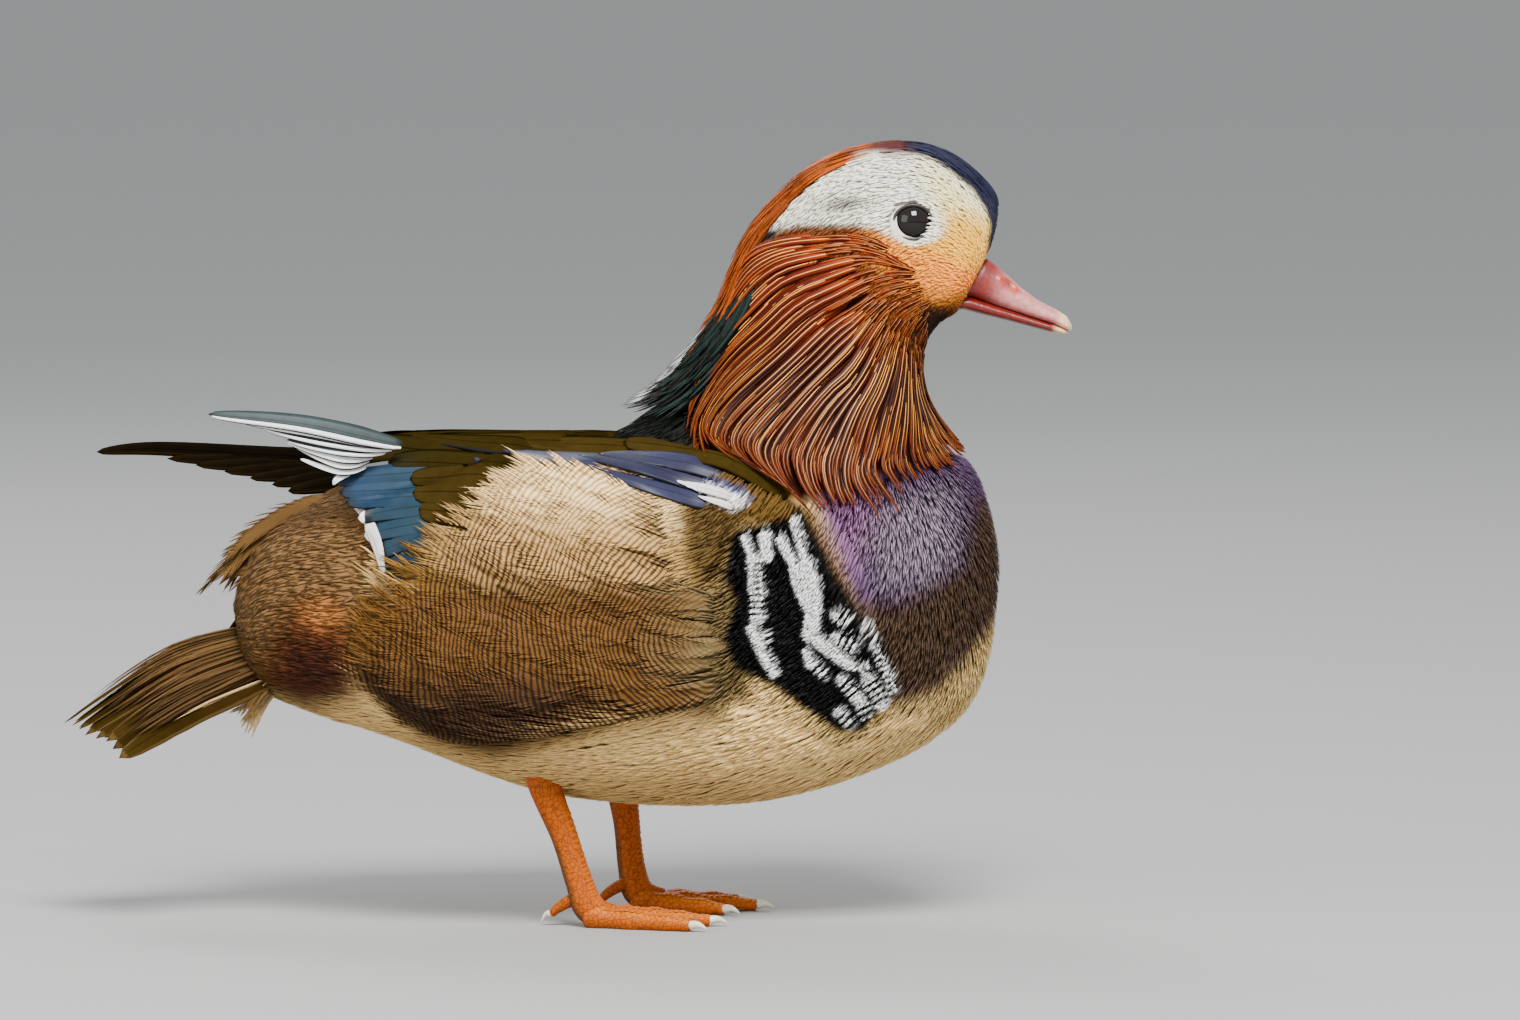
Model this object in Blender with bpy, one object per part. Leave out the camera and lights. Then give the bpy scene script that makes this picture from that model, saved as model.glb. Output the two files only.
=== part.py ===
"""A drake mandarin duck, standing still, life size. Metres, +Z up, the bill towards +X and the right side
towards -Y. The origin is on the ground, under the middle of the bounding box."""

import math
import random

import bmesh
import bpy
from mathutils import Matrix, Vector
from mathutils.bvhtree import BVHTree

MM = 0.001

# Sizes in millimetres, multiplied by MM where points are made
PART_GAP = 0.3
BODY_SIDES = 22
RINGS_PER_STATION = 3
BODY_ROUNDNESS = 0.92
WIDEST_SHARE = 0.47
HEAD_END = 3.35
NECK_END = 6.35
EYE_PLACE = (108.0, 13.2, 217.4)
EYE_RADIUS = 6.6
LID_RADIUS = 0.8
LID_HALF = (5.9, 5.2)
LID_OUT = 4.1
VANE_THICKNESS = 0.6
LOCK_THICKNESS = 1.0
RIGHT, LEFT = -1, 1
SIDES = ((RIGHT, "right"), (LEFT, "left"))

# Where the body is cut across: x and z of the upper line, x and z of the lower line, and half the width
BODY = (
    (131.0, 205.0, 123.0, 189.0, 7.5),
    (133.5, 225.0, 117.0, 186.0, 15.0),
    (112.0, 240.5, 112.8, 180.5, 18.6),
    (82.0, 235.5, 111.0, 172.0, 20.5),
    (60.0, 214.5, 112.8, 161.5, 22.5),
    (48.5, 187.0, 119.5, 149.5, 27.3),
    (30.5, 162.0, 130.0, 134.5, 37.0),
    (12.0, 150.0, 134.8, 104.0, 46.0),
    (-12.0, 149.0, 122.5, 62.5, 50.0),
    (-35.5, 146.5, 68.0, 38.3, 50.0),
    (-57.0, 140.0, 2.0, 38.6, 46.5),
    (-77.0, 130.0, -52.0, 56.5, 37.0),
    (-91.0, 121.0, -80.0, 66.0, 27.0),
    (-99.0, 108.0, -93.0, 72.0, 17.0),
    (-101.5, 98.0, -98.0, 80.0, 8.0),
)
BODY_END = len(BODY) - 1
SKIN_RINGS = 90
SKIN_SIDES = 64
SKIN_REACH = 30.0
STATION_SPACING = 25.0
STATION_GAP = PART_GAP / STATION_SPACING

# Bill, from its base to the nail: share of its length, z of ridge, mouth and floor, half width
BILL = (
    (0.0, 205.3, 193.4, 189.6, 7.6),
    (0.22, 201.9, 191.4, 187.9, 7.0),
    (0.45, 197.0, 189.2, 186.2, 6.3),
    (0.68, 192.4, 186.9, 184.2, 5.9),
    (0.86, 189.6, 185.0, 182.6, 5.6),
    (0.96, 187.4, 183.4, 182.0, 4.6),
    (1.0, 184.8, 182.9, 182.2, 2.4),
)
BILL_TIP_X = 157.0
BILL_BASE = (131.4, 205.0)
FACE_SLOPE = 7.5 / 16.0
BILL_ROUNDNESS = 0.8
BILL_NARROWING = 0.28
LOWER_BILL_INSET = 1.0
NOSTRIL_PLACE = (137.8, 5.9, 197.4)
NOSTRIL_RADII = (1.9, 1.2, 0.9)

# Ruff: how many hackles a tier has on one side, where it starts and the share of its full reach
RUFF_TIERS = ((8, 1.15, 1.0), (7, 0.55, 0.78), (5, 0.0, 0.54))
RUFF_ANGLES = (56.0, -82.0)
RUFF_REACH = (5.8, 6.4, 6.75, 7.0, 6.85, 6.2, 5.1)
RUFF_CORE = -2.2
RUFF_ROLL = 9.0
RUFF_HALF_WIDTH = 5.0

# Nape crest: its middle line from the crown to the shoulders, and half its width there
CREST_LINE = (
    (104.0, 0.0, 239.0),
    (82.0, 0.0, 236.0),
    (60.0, 0.0, 214.5),
    (48.5, 0.0, 187.0),
    (31.0, 0.0, 164.0),
    (14.0, 0.0, 151.0),
)
CREST_HALF_WIDTHS = (4.0, 9.0, 10.0, 11.0, 12.0, 6.0)
CREST_LOCKS = 11
CREST_LOCK_HALF = 3.0
CREST_HEIGHT = 3.4

# Folded wing: its upper and lower edges, from the shoulder to the wrist
WING_UPPER = (
    (68.0, 36.0, 132.0),
    (40.0, 26.0, 146.0),
    (2.0, 22.0, 151.0),
    (-32.0, 20.0, 148.0),
    (-62.0, 24.0, 136.0),
)
WING_LOWER = (
    (66.0, 42.0, 120.0),
    (36.0, 50.0, 108.0),
    (2.0, 51.0, 104.0),
    (-32.0, 46.0, 108.0),
    (-60.0, 32.0, 122.0),
)
WING_HEIGHT = 3.6
# Rows of wing feathers: count, first and last root, first and last tip, half width, height over the arm
WING_ROWS = (
    (5, ((-24.0, 34.0, 139.0), (-16.0, 46.0, 118.0)), ((-70.0, 26.0, 137.0), (-51.0, 40.0, 108.0)), 4.2, 1.4),
    (3, ((62.0, 36.0, 131.0), (60.0, 43.0, 118.0)), ((34.0, 38.0, 136.0), (36.0, 47.0, 119.0)), 5.0, 1.6),
    (3, ((-8.0, 20.0, 149.0), (0.0, 28.0, 145.0)), ((-58.0, 16.0, 142.0), (-70.0, 26.0, 140.0)), 4.6, 2.4),
    (3, ((42.0, 24.0, 146.0), (50.0, 31.0, 140.0)), ((-10.0, 22.0, 148.0), (12.0, 32.0, 143.0)), 4.6, 1.8),
)
WING_ROLL = 7.0
FEATHER_ROOT = -1.5
PRIMARIES = 5
PRIMARY_HALF_WIDTH = 3.6
PRIMARY_SUNK = 2.0
PRIMARY_PATHS = {
    RIGHT: (((-34.0, 28.0, 148.0), (-66.0, 33.0, 153.0), (-106.5, 35.0, 163.0)),
            ((-34.0, 31.0, 143.0), (-56.0, 36.0, 144.5), (-76.0, 37.0, 146.0))),
    LEFT: (((-34.0, 28.0, 147.0), (-84.0, 33.0, 137.0), (-146.0, 27.0, 139.5)),
           ((-34.0, 31.0, 142.0), (-70.0, 36.0, 131.0), (-104.0, 34.0, 131.0))),
}
PRIMARY_FACES = {RIGHT: (0.0, 0.85, 0.5), LEFT: (0.0, 0.95, 0.3)}

# Flank: its upper and lower edges, from the breast to the rump, and where its fan of feathers spreads
FLANK_UPPER = (
    (60.0, 42.0, 104.0),
    (34.0, 50.0, 120.0),
    (4.0, 50.0, 122.0),
    (-26.0, 46.0, 114.0),
    (-50.0, 38.0, 100.0),
)
FLANK_LOWER = (
    (60.0, 42.0, 84.0),
    (34.0, 42.0, 60.0),
    (4.0, 38.0, 54.0),
    (-26.0, 32.0, 60.0),
    (-50.0, 30.0, 80.0),
)
FLANK_HEIGHT = 5.0
FLANK_ROOT = (34.0, 47.0, 90.0)
FLANK_TIPS = (
    (32.0, 134.0),
    (12.0, 143.0),
    (-14.0, 137.0),
    (-42.0, 116.0),
    (-56.0, 90.0),
    (-50.0, 66.0),
    (-18.0, 51.0),
)
FLANK_SUNK = 4.0
FLANK_ROOT_LIFT = -1.2
FLANK_LIFTS = (1.8, 2.2, 2.4)
FLANK_TIER_RISE = 1.5
FLANK_TIERS = ((11, 1.0, 0.5, 8.2), (5, 0.66, 0.3, 8.5))

RUMP_LOCKS = (
    ((-72.0, 10.0, 132.0), (-94.0, 11.0, 121.0), (-111.0, 9.0, 105.0)),
    ((-74.0, 22.0, 124.0), (-93.0, 21.0, 112.0), (-105.0, 16.0, 97.0)),
    ((-70.0, 32.0, 108.0), (-88.0, 27.0, 98.0), (-101.0, 18.0, 86.0)),
    ((-62.0, 36.0, 90.0), (-82.0, 29.0, 82.0), (-97.0, 18.0, 75.0)),
)
RUMP_HALF_WIDTH = 7.0
RUMP_LIFTS = (-2.0, 0.6, 1.2, 1.6)
TAIL_FEATHERS = 12
TAIL_MIDDLE = ((-88.0, 0.0, 84.0), (-122.0, 0.0, 80.0), (-157.5, 0.0, 59.5))
TAIL_OUTER = ((-88.0, 9.0, 79.0), (-114.0, 19.0, 67.0), (-138.0, 27.0, 53.0))
TAIL_HALF_WIDTH = 4.4
TAIL_ROLL = 13.0
TAIL_CORE = ((-84.0, 0.0, 86.0), (-98.0, 0.0, 82.0), (-112.0, 0.0, 79.0))
TAIL_CORE_RADII = (13.0, 10.5, 6.0)

LEG_PATHS = {
    RIGHT: ((-9.0, -22.0, 64.0), (-6.5, -22.0, 47.0), (0.5, -22.5, 28.0), (5.0, -23.0, 14.0),
            (8.5, -23.0, 3.5)),
    LEFT: ((15.0, 22.0, 60.0), (17.0, 22.0, 43.0), (19.0, 22.5, 28.0), (20.5, 23.0, 14.0),
           (23.0, 23.0, 3.5)),
}
LEG_RADII = (7.0, 5.6, 4.5, 4.3, 4.6)
LEG_SPLIT = 10.0
TOES = ((27.0, 36.0), (2.0, 44.0), (-22.0, 40.0))
TOE_RADII = (3.2, 2.7, 2.6, 2.3, 1.9, 0.5)
TOE_HEIGHTS = (3.4, 2.4, 2.2, 2.1, 1.8, 1.0)
HALLUX = ((-1.0, 9.5), (-6.0, 8.0), (-10.0, 6.0), (-13.5, 3.5))
HALLUX_RADII = (2.2, 1.9, 1.5, 0.5)
WEB_REACH = 0.84
WEB_THICKNESS = 1.5
WEB_HOLLOW = 0.16

PAINTS = {
    "plum_breast": ((0.10, 0.04, 0.10), 0.45),
    "chestnut": ((0.36, 0.10, 0.03), 0.5),
    "face": ((0.80, 0.55, 0.28), 0.6),
    "copper": ((0.42, 0.10, 0.03), 0.45),
    "bill_red": ((0.62, 0.14, 0.14), 0.35),
    "eye_black": ((0.015, 0.01, 0.008), 0.08),
    "olive_wing": ((0.15, 0.12, 0.05), 0.5),
    "gold_flank": ((0.45, 0.31, 0.12), 0.6),
    "brown_tail": ((0.16, 0.11, 0.06), 0.6),
    "orange_leg": ((0.80, 0.28, 0.03), 0.45),
}


def clear_scene():
    for thing in list(bpy.data.objects):
        bpy.data.objects.remove(thing)


def paint(name):
    """The material of that name, made the first time it is asked for."""
    material = bpy.data.materials.get(name)
    if material is None:
        colour, roughness = PAINTS[name]
        material = bpy.data.materials.new(name)
        material.use_nodes = True
        shader = material.node_tree.nodes["Principled BSDF"]
        shader.inputs["Base Color"].default_value = (*colour, 1.0)
        shader.inputs["Roughness"].default_value = roughness
        shader.inputs["Metallic"].default_value = 0.0
    return material


def smooth_row(rows, t):
    """A smooth curve through rows of numbers, read at t, where each row is one unit of t."""
    last = len(rows) - 1
    t = min(max(t, 0.0), float(last))
    i = min(int(t), last - 1)
    f = t - i
    near = [rows[min(max(k, 0), last)] for k in (i - 1, i, i + 1, i + 2)]
    return [
        b + 0.5 * f * (c - a + f * (2 * a - 5 * b + 4 * c - d + f * (3 * (b - c) + d - a)))
        for a, b, c, d in zip(*near)
    ]


def along(rows, s):
    """The place on the smooth curve through a few points, for s from 0 to 1."""
    return Vector(smooth_row(rows, s * (len(rows) - 1)))


def along_values(values, s):
    return smooth_row([(v,) for v in values], s * (len(values) - 1))[0]


def rounded(value, power):
    return math.copysign(abs(value) ** power, value)


def body_point(t, angle, grow=0.0):
    """A place on the body's skin: t counts stations, and the angle goes up from the left side."""
    upper_x, upper_z, lower_x, lower_z, half = smooth_row(BODY, t)
    rise = Vector((upper_x - lower_x, 0.0, upper_z - lower_z))
    height = rise.length + 2 * grow
    rise.normalize()
    share = rounded(math.sin(angle), BODY_ROUNDNESS)
    share = WIDEST_SHARE + share * (1 - WIDEST_SHARE if share > 0 else WIDEST_SHARE)
    across = rounded(math.cos(angle), BODY_ROUNDNESS) * (half + grow)
    low = Vector((lower_x, 0.0, lower_z)) - rise * grow
    behind = max(0.0, t - BODY_END) * STATION_SPACING
    return low + rise * height * share + Vector((-behind, across, 0.0))


def body_ring(t, grow=0.0, sides=BODY_SIDES):
    return [body_point(t, 2 * math.pi * k / sides, grow) for k in range(sides)]


def tube_mesh(rings):
    """Points and triangles of a closed tube through rings of equal size, capped flat at both ends."""
    sides = len(rings[0])
    points = [p for ring in rings for p in ring]
    faces = []
    for r in range(len(rings) - 1):
        for k in range(sides):
            a, b = r * sides + k, r * sides + (k + 1) % sides
            c, d = a + sides, b + sides
            faces += [(a, c, b), (b, c, d)]
    for r, turned in ((0, False), (len(rings) - 1, True)):
        middle = len(points)
        ring = range(r * sides, (r + 1) * sides)
        points.append(sum((points[i] for i in ring), Vector()) / sides)
        for k in range(sides):
            a, b = ring[k], ring[(k + 1) % sides]
            faces.append((middle, b, a) if turned else (middle, a, b))
    return points, faces


def make_object(name, points, faces, material):
    """A smooth-shaded mesh object from points in millimetres."""
    mesh = bpy.data.meshes.new(name)
    mesh.from_pydata([tuple(p * MM) for p in points], [], faces)
    edit = bmesh.new()
    edit.from_mesh(mesh)
    bmesh.ops.recalc_face_normals(edit, faces=edit.faces)
    edit.to_mesh(mesh)
    edit.free()
    mesh.materials.append(paint(material))
    mesh.shade_smooth()
    mesh.set_sharp_from_angle(angle=math.radians(50))
    thing = bpy.data.objects.new(name, mesh)
    bpy.context.scene.collection.objects.link(thing)
    return thing


def body_part(name, first, last, material, grow=0.0):
    """The stretch of the body between two stations, with flat ends."""
    count = max(2, round((last - first) * RINGS_PER_STATION))
    rings = [body_ring(first + (last - first) * i / count, grow) for i in range(count + 1)]
    return make_object(name, *tube_mesh(rings), material)


def keep_largest(thing):
    """Deletes every closed surface of the mesh but the one with most points."""
    edit = bmesh.new()
    edit.from_mesh(thing.data)
    left, islands = set(edit.verts), []
    while left:
        start = left.pop()
        island, front = {start}, [start]
        while front:
            for edge in front.pop().link_edges:
                for other in edge.verts:
                    if other in left:
                        left.remove(other)
                        island.add(other)
                        front.append(other)
        islands.append(island)
    islands.sort(key=len)
    for island in islands[:-1]:
        bmesh.ops.delete(edit, geom=list(island), context="VERTS")
    bmesh.ops.triangulate(edit, faces=[f for f in edit.faces if len(f.verts) > 3])
    edit.to_mesh(thing.data)
    edit.free()


def boolean(thing, operation, others, solver):
    """Joins or cuts with a whole collection of closed pieces, which are then removed."""
    group = bpy.data.collections.new(thing.name + "_tools")
    bpy.context.scene.collection.children.link(group)
    for other in others:
        bpy.context.scene.collection.objects.unlink(other)
        group.objects.link(other)
    change = thing.modifiers.new(operation, "BOOLEAN")
    change.operation = operation
    change.operand_type = "COLLECTION"
    change.collection = group
    change.solver = solver
    graph = bpy.context.evaluated_depsgraph_get()
    mesh = bpy.data.meshes.new_from_object(thing.evaluated_get(graph))
    thing.modifiers.clear()
    thing.data = mesh
    for other in others:
        bpy.data.objects.remove(other)
    bpy.data.collections.remove(group)


def finish_node(name, pieces, cutters=(), solver="EXACT"):
    """One closed node from its pieces, cut clear of what it meets. Feathers need the MANIFOLD solver."""
    thing = pieces[0]
    if len(pieces) > 1:
        boolean(thing, "UNION", pieces[1:], solver)
    if cutters:
        boolean(thing, "DIFFERENCE", list(cutters), solver)
    keep_largest(thing)
    thing.name = name
    thing.data.name = name
    return thing


class Skin:
    """The body's surface, with any pads on it, to lay feathers on."""

    def __init__(self, pads=()):
        rings = [body_ring(BODY_END * i / SKIN_RINGS, sides=SKIN_SIDES) for i in range(SKIN_RINGS + 1)]
        points, faces = tube_mesh(rings)
        self.body = BVHTree.FromPolygons(points, faces)
        for thing in pads:
            first = len(points)
            points += [v.co / MM for v in thing.data.vertices]
            faces += [tuple(i + first for i in f.vertices) for f in thing.data.polygons]
        self.all = BVHTree.FromPolygons(points, faces)

    def place(self, point):
        """The outermost place over the skin nearest to a point, and the skin's own outward direction."""
        spot, normal, _, _ = self.body.find_nearest(point)
        hit, _, _, _ = self.all.ray_cast(spot + normal * SKIN_REACH, -normal, SKIN_REACH + 1.0)
        return (hit or spot), normal


def blade(places, normals, half_widths, thickness, material, grow=0.0):
    """A thin closed feather through places, its flat side across normals, both faces split alike."""
    points, faces, last = [], [], len(places) - 1
    places = [p.copy() for p in places]
    places[0] += (places[0] - places[1]).normalized() * grow
    places[last] += (places[last] - places[last - 1]).normalized() * grow
    for i, (place, normal, half) in enumerate(zip(places, normals, half_widths)):
        ahead = places[min(i + 1, last)] - places[max(i - 1, 0)]
        across = ahead.cross(normal).normalized() * (half + grow)
        thick = across.cross(ahead).normalized() * (thickness * (0.5 if i < last else 0.3) + grow)
        points += [place - across - thick, place + across - thick]
        points += [place + across + thick, place - across + thick]
    for i in range(last):
        a = 4 * i
        b = a + 4
        faces += [(a, a + 1, b), (a + 1, b + 1, b)]
        faces += [(a + 3, b + 3, a + 2), (a + 2, b + 3, b + 2)]
        faces += [(a + 1, a + 2, b + 1), (a + 2, b + 2, b + 1)]
        faces += [(a, b, a + 3), (b, b + 3, a + 3)]
    e = 4 * last
    faces += [(0, 3, 1), (1, 3, 2), (e, e + 1, e + 3), (e + 1, e + 2, e + 3)]
    return make_object("feather", points, faces, material)


def vane_width(s):
    """A flight feather's width from root to tip, as a share of its widest."""
    return 0.5 + 0.5 * s / 0.3 if s < 0.3 else max(0.14, (1 - ((s - 0.3) / 0.7) ** 3) ** 0.5)


def lock_width(s):
    """A hackle's width: full near the root, drawn out to a point."""
    return 0.6 + 0.4 * s / 0.2 if s < 0.2 else max(0.08, 1 - ((s - 0.2) / 0.8) ** 1.6)


def rolled(places, normals, degrees):
    """The normals turned about the feather's own line, so that neighbours overlap like tiles."""
    last = len(places) - 1
    found = []
    for i, normal in enumerate(normals):
        ahead = (places[min(i + 1, last)] - places[max(i - 1, 0)]).normalized()
        found.append(Matrix.Rotation(math.radians(degrees), 3, ahead) @ normal)
    return found


def tip_steps(steps):
    """Shares along a feather that crowd towards its tip."""
    return [1 - (1 - i / steps) ** 1.35 for i in range(steps + 1)]


def laid_feather(skin, guide, lifts, half_width, material, shape=vane_width, steps=3, roll=0.0, grow=0.0,
                 loose=False):
    """A feather whose middle line follows guide points, lifted off the skin. A loose one may leave it."""
    places, normals, widths = [], [], []
    thickness = VANE_THICKNESS if shape is vane_width else LOCK_THICKNESS
    for s in tip_steps(steps):
        spot = along(guide, s)
        place, normal = skin.place(spot)
        rise = along_values(lifts, s)
        if loose and s > 0.4 and (spot - place).length > rise + 1.0:
            place, rise = spot, 0.0
        places.append(place + normal * rise)
        normals.append(normal)
        widths.append(half_width * shape(s))
    return blade(places, rolled(places, normals, roll), widths, thickness, material, grow)


def free_feather(guide, face, half_width, material, roll=0.0, grow=0.0):
    """A vane through guide points that stands clear of the body, with its flat side towards face."""
    shares = tip_steps(4)
    places = [along(guide, s) for s in shares]
    normals = [Vector(face).normalized()] * len(places)
    widths = [half_width * vane_width(s) for s in shares]
    return blade(places, rolled(places, normals, roll), widths, VANE_THICKNESS, material, grow)


def pad(skin, upper, lower, height, material, steps=8, rows=4, grow=0.0, sunk=3.0):
    """A crowned pad between two edges, sunk in the bare skin and just clear of what lies on it."""
    outer, inner = [], []
    middle = (along(upper, 0.5) + along(lower, 0.5)) / 2
    for i in range(steps + 1):
        s = i / steps
        top, low = along(upper, s), along(lower, s)
        for j in range(rows + 1):
            v = j / rows
            spot = top + (low - top) * v
            if i in (0, steps) or j in (0, rows):
                spot += (spot - middle).normalized() * 2 * grow
            place, normal = skin.place(spot)
            bare, _, _, _ = skin.body.find_nearest(spot)
            base = -sunk if (place - bare).length < 0.5 else PART_GAP
            crown = (math.sin(math.pi * v) * math.sin(math.pi * (0.08 + 0.84 * s))) ** 0.6
            outer.append(place + normal * (max(height * crown - 0.4, base + 1.0) + grow))
            inner.append(place + normal * base)
    points = outer + inner
    wide, first = rows + 1, len(outer)
    faces = []
    for i in range(steps):
        for j in range(rows):
            a, b = i * wide + j, i * wide + j + 1
            c, d = a + wide, b + wide
            faces += [(a, c, b), (b, c, d)]
            faces += [(first + a, first + b, first + c), (first + b, first + d, first + c)]
    rim = [j for j in range(rows)] + [i * wide + rows for i in range(steps)]
    rim += [steps * wide + j for j in range(rows, 0, -1)] + [i * wide for i in range(steps, 0, -1)]
    for a, b in zip(rim, rim[1:] + rim[:1]):
        faces += [(a, b, first + a), (b, first + b, first + a)]
    return make_object("pad", points, faces, material)


def ellipsoid(centre, radii, material, rings=7, sides=12, pole="Z"):
    """A closed ball, with its poles along one axis."""
    points, faces = [], []
    for r in range(rings + 1):
        tilt = math.pi * r / rings
        for k in range(sides if 0 < r < rings else 1):
            turn = 2 * math.pi * k / sides
            x, y, z = math.sin(tilt) * math.cos(turn), math.sin(tilt) * math.sin(turn), math.cos(tilt)
            spot = (x, z, y) if pole == "Y" else (x, y, z)
            points.append(Vector([spot[i] * radii[i] + centre[i] for i in range(3)]))
    row = [0] + [1 + sides * r for r in range(rings)]
    for k in range(sides):
        j = (k + 1) % sides
        faces.append((0, row[1] + k, row[1] + j))
        for r in range(1, rings - 1):
            a, b = row[r], row[r + 1]
            faces += [(a + k, b + k, a + j), (a + j, b + k, b + j)]
        faces.append((row[rings - 1] + k, row[rings], row[rings - 1] + j))
    return make_object("ball", points, faces, material)


def swept(spine, radii, material, sides=8, flat=1.0):
    """A round limb through spine points in an upright plane. Flat squashes it in that plane."""
    rings, last = [], len(spine) - 1
    spine = [Vector(p) for p in spine]
    run = spine[last] - spine[0]
    across = Vector((-run.y, run.x, 0.0)).normalized()
    for i, (spot, radius) in enumerate(zip(spine, radii)):
        ahead = (spine[min(i + 1, last)] - spine[max(i - 1, 0)]).normalized()
        up = ahead.cross(across).normalized()
        turns = [2 * math.pi * k / sides for k in range(sides)]
        rings.append([spot + (across * math.cos(a) + up * math.sin(a) * flat) * radius for a in turns])
    return make_object("limb", *tube_mesh(rings), material)


def eye_lid(side):
    """A thin ring of lid round one eye, a little longer than high."""
    x, y, z = EYE_PLACE
    count, sides, rings = 14, 4, []
    for k in range(count):
        turn = 2 * math.pi * k / count
        outward = Vector((0.35 * math.cos(turn), side, 0.3 * math.sin(turn))).normalized()
        radial = Vector((math.cos(turn), 0.0, math.sin(turn)))
        out = y + LID_OUT - 0.4 * math.cos(2 * turn)
        spot = Vector((x + LID_HALF[0] * math.cos(turn), side * out, z + LID_HALF[1] * math.sin(turn)))
        turns = [2 * math.pi * j / sides for j in range(sides)]
        rings.append([spot + (radial * math.cos(a) + outward * math.sin(a)) * LID_RADIUS for a in turns])
    points = [p for ring in rings for p in ring]
    faces = []
    for k in range(count):
        for j in range(sides):
            a, b = sides * k + j, sides * k + (j + 1) % sides
            c, d = (a + sides) % len(points), (b + sides) % len(points)
            faces += [(a, c, b), (b, c, d)]
    return make_object("lid", points, faces, "face")


def make_head():
    """The head, with a lid and a socket for each eye."""
    sockets = []
    for side, word in SIDES:
        centre = (EYE_PLACE[0], side * EYE_PLACE[1], EYE_PLACE[2])
        eye = ellipsoid(centre, (EYE_RADIUS,) * 3, "eye_black", pole="Y")
        eye.name = "eye_" + word
        sockets.append(ellipsoid(centre, (EYE_RADIUS + PART_GAP,) * 3, "face", pole="Y"))
    pieces = [body_part("head", 0.0, HEAD_END, "face"), eye_lid(RIGHT), eye_lid(LEFT)]
    finish_node("head", pieces, sockets)


def bill_ring(share, top, bottom, half, mouth, ridge):
    """A ring of the bill. Its plane leans as the face does at the base and stands upright at the tip."""
    ring, sides = [], 12
    for k in range(sides):
        turn = 2 * math.pi * k / sides
        z = bottom + (top - bottom) * (0.5 + 0.5 * rounded(math.sin(turn), BILL_ROUNDNESS))
        base = BILL_BASE[0] - FACE_SLOPE * (BILL_BASE[1] - z) + PART_GAP
        narrowing = 1.0 - BILL_NARROWING * max(0.0, (z - mouth) / (ridge - mouth))
        across = rounded(math.cos(turn), BILL_ROUNDNESS) * half * narrowing
        ring.append(Vector((base + (BILL_TIP_X - base) * share, across, z)))
    return ring


def make_bill():
    """The upper bill with its nostrils and nail, and the lower bill under the line of the mouth."""
    upper = [bill_ring(share, ridge, mouth, half, mouth, ridge) for share, ridge, mouth, _, half in BILL]
    lower = [
        bill_ring(share, mouth - PART_GAP, floor, half - LOWER_BILL_INSET, mouth, ridge)
        for share, ridge, mouth, floor, half in BILL[:-1]
    ]
    x, y, z = NOSTRIL_PLACE
    nostrils = [ellipsoid((x, side * y, z), NOSTRIL_RADII, "bill_red", 4, 8) for side in (RIGHT, LEFT)]
    finish_node("bill_upper", [make_object("bill", *tube_mesh(upper), "bill_red")], nostrils)
    make_object("bill_lower", *tube_mesh(lower), "bill_red")


def hackle(start, reach, angle, side, lift, width):
    """One hackle of the ruff, down the neck from the cheek line, on the body's own stations."""
    first = HEAD_END + 0.06 + start
    places, normals, widths = [], [], []
    for s in tip_steps(4):
        t = first + (reach - first) * s
        turn = math.radians(angle)
        place = body_point(t, turn)
        out = (body_point(t, turn, 1.0) - place).normalized()
        low = RUFF_CORE - 1.2
        front = max(0.0, -angle / 82.0)
        place += out * (low + (lift - low) * min(1.0, s / 0.25) ** 0.7 + (1.5 + 2.5 * front) * s)
        places.append(Vector((place.x, place.y * side, place.z)))
        normals.append(Vector((out.x, out.y * side, out.z)))
        widths.append(width * lock_width(s))
    return blade(places, rolled(places, normals, RUFF_ROLL * side), widths, LOCK_THICKNESS, "copper")


def neck_core(grow=0.0):
    """The neck under the ruff. It runs a little past both ends and is cut back by its neighbours."""
    return body_part("neck", HEAD_END - 0.1, NECK_END + 0.1, "chestnut", grow=RUFF_CORE + grow)


def make_neck():
    """The neck with its ruff: tiers of hackles that overlap like tiles and fan out over the breast."""
    chance = random.Random(11)
    pieces = [neck_core()]
    for side in (RIGHT, LEFT):
        for tier, (count, start, share) in enumerate(RUFF_TIERS):
            for k in range(count):
                spot = (k + 0.5 * (tier % 2) + 0.2) / (count + 0.2)
                angle = RUFF_ANGLES[0] + (RUFF_ANGLES[1] - RUFF_ANGLES[0]) * spot
                first = HEAD_END + start
                length = (along_values(RUFF_REACH, spot) - first) * share
                reach = first + length * chance.uniform(0.95, 1.05)
                pieces.append(hackle(start, reach, angle, side, 0.4 + 1.8 * tier, RUFF_HALF_WIDTH))
    cutters = [head_cutter(), torso_cutter()]
    for side in (RIGHT, LEFT):
        cutters += wing_pieces(side, PART_GAP)
    finish_node("neck", pieces, cutters, "MANIFOLD")


def crest_spot(s, offset):
    spot = along(CREST_LINE, s)
    return Vector((spot.x, offset, spot.z))


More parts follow.
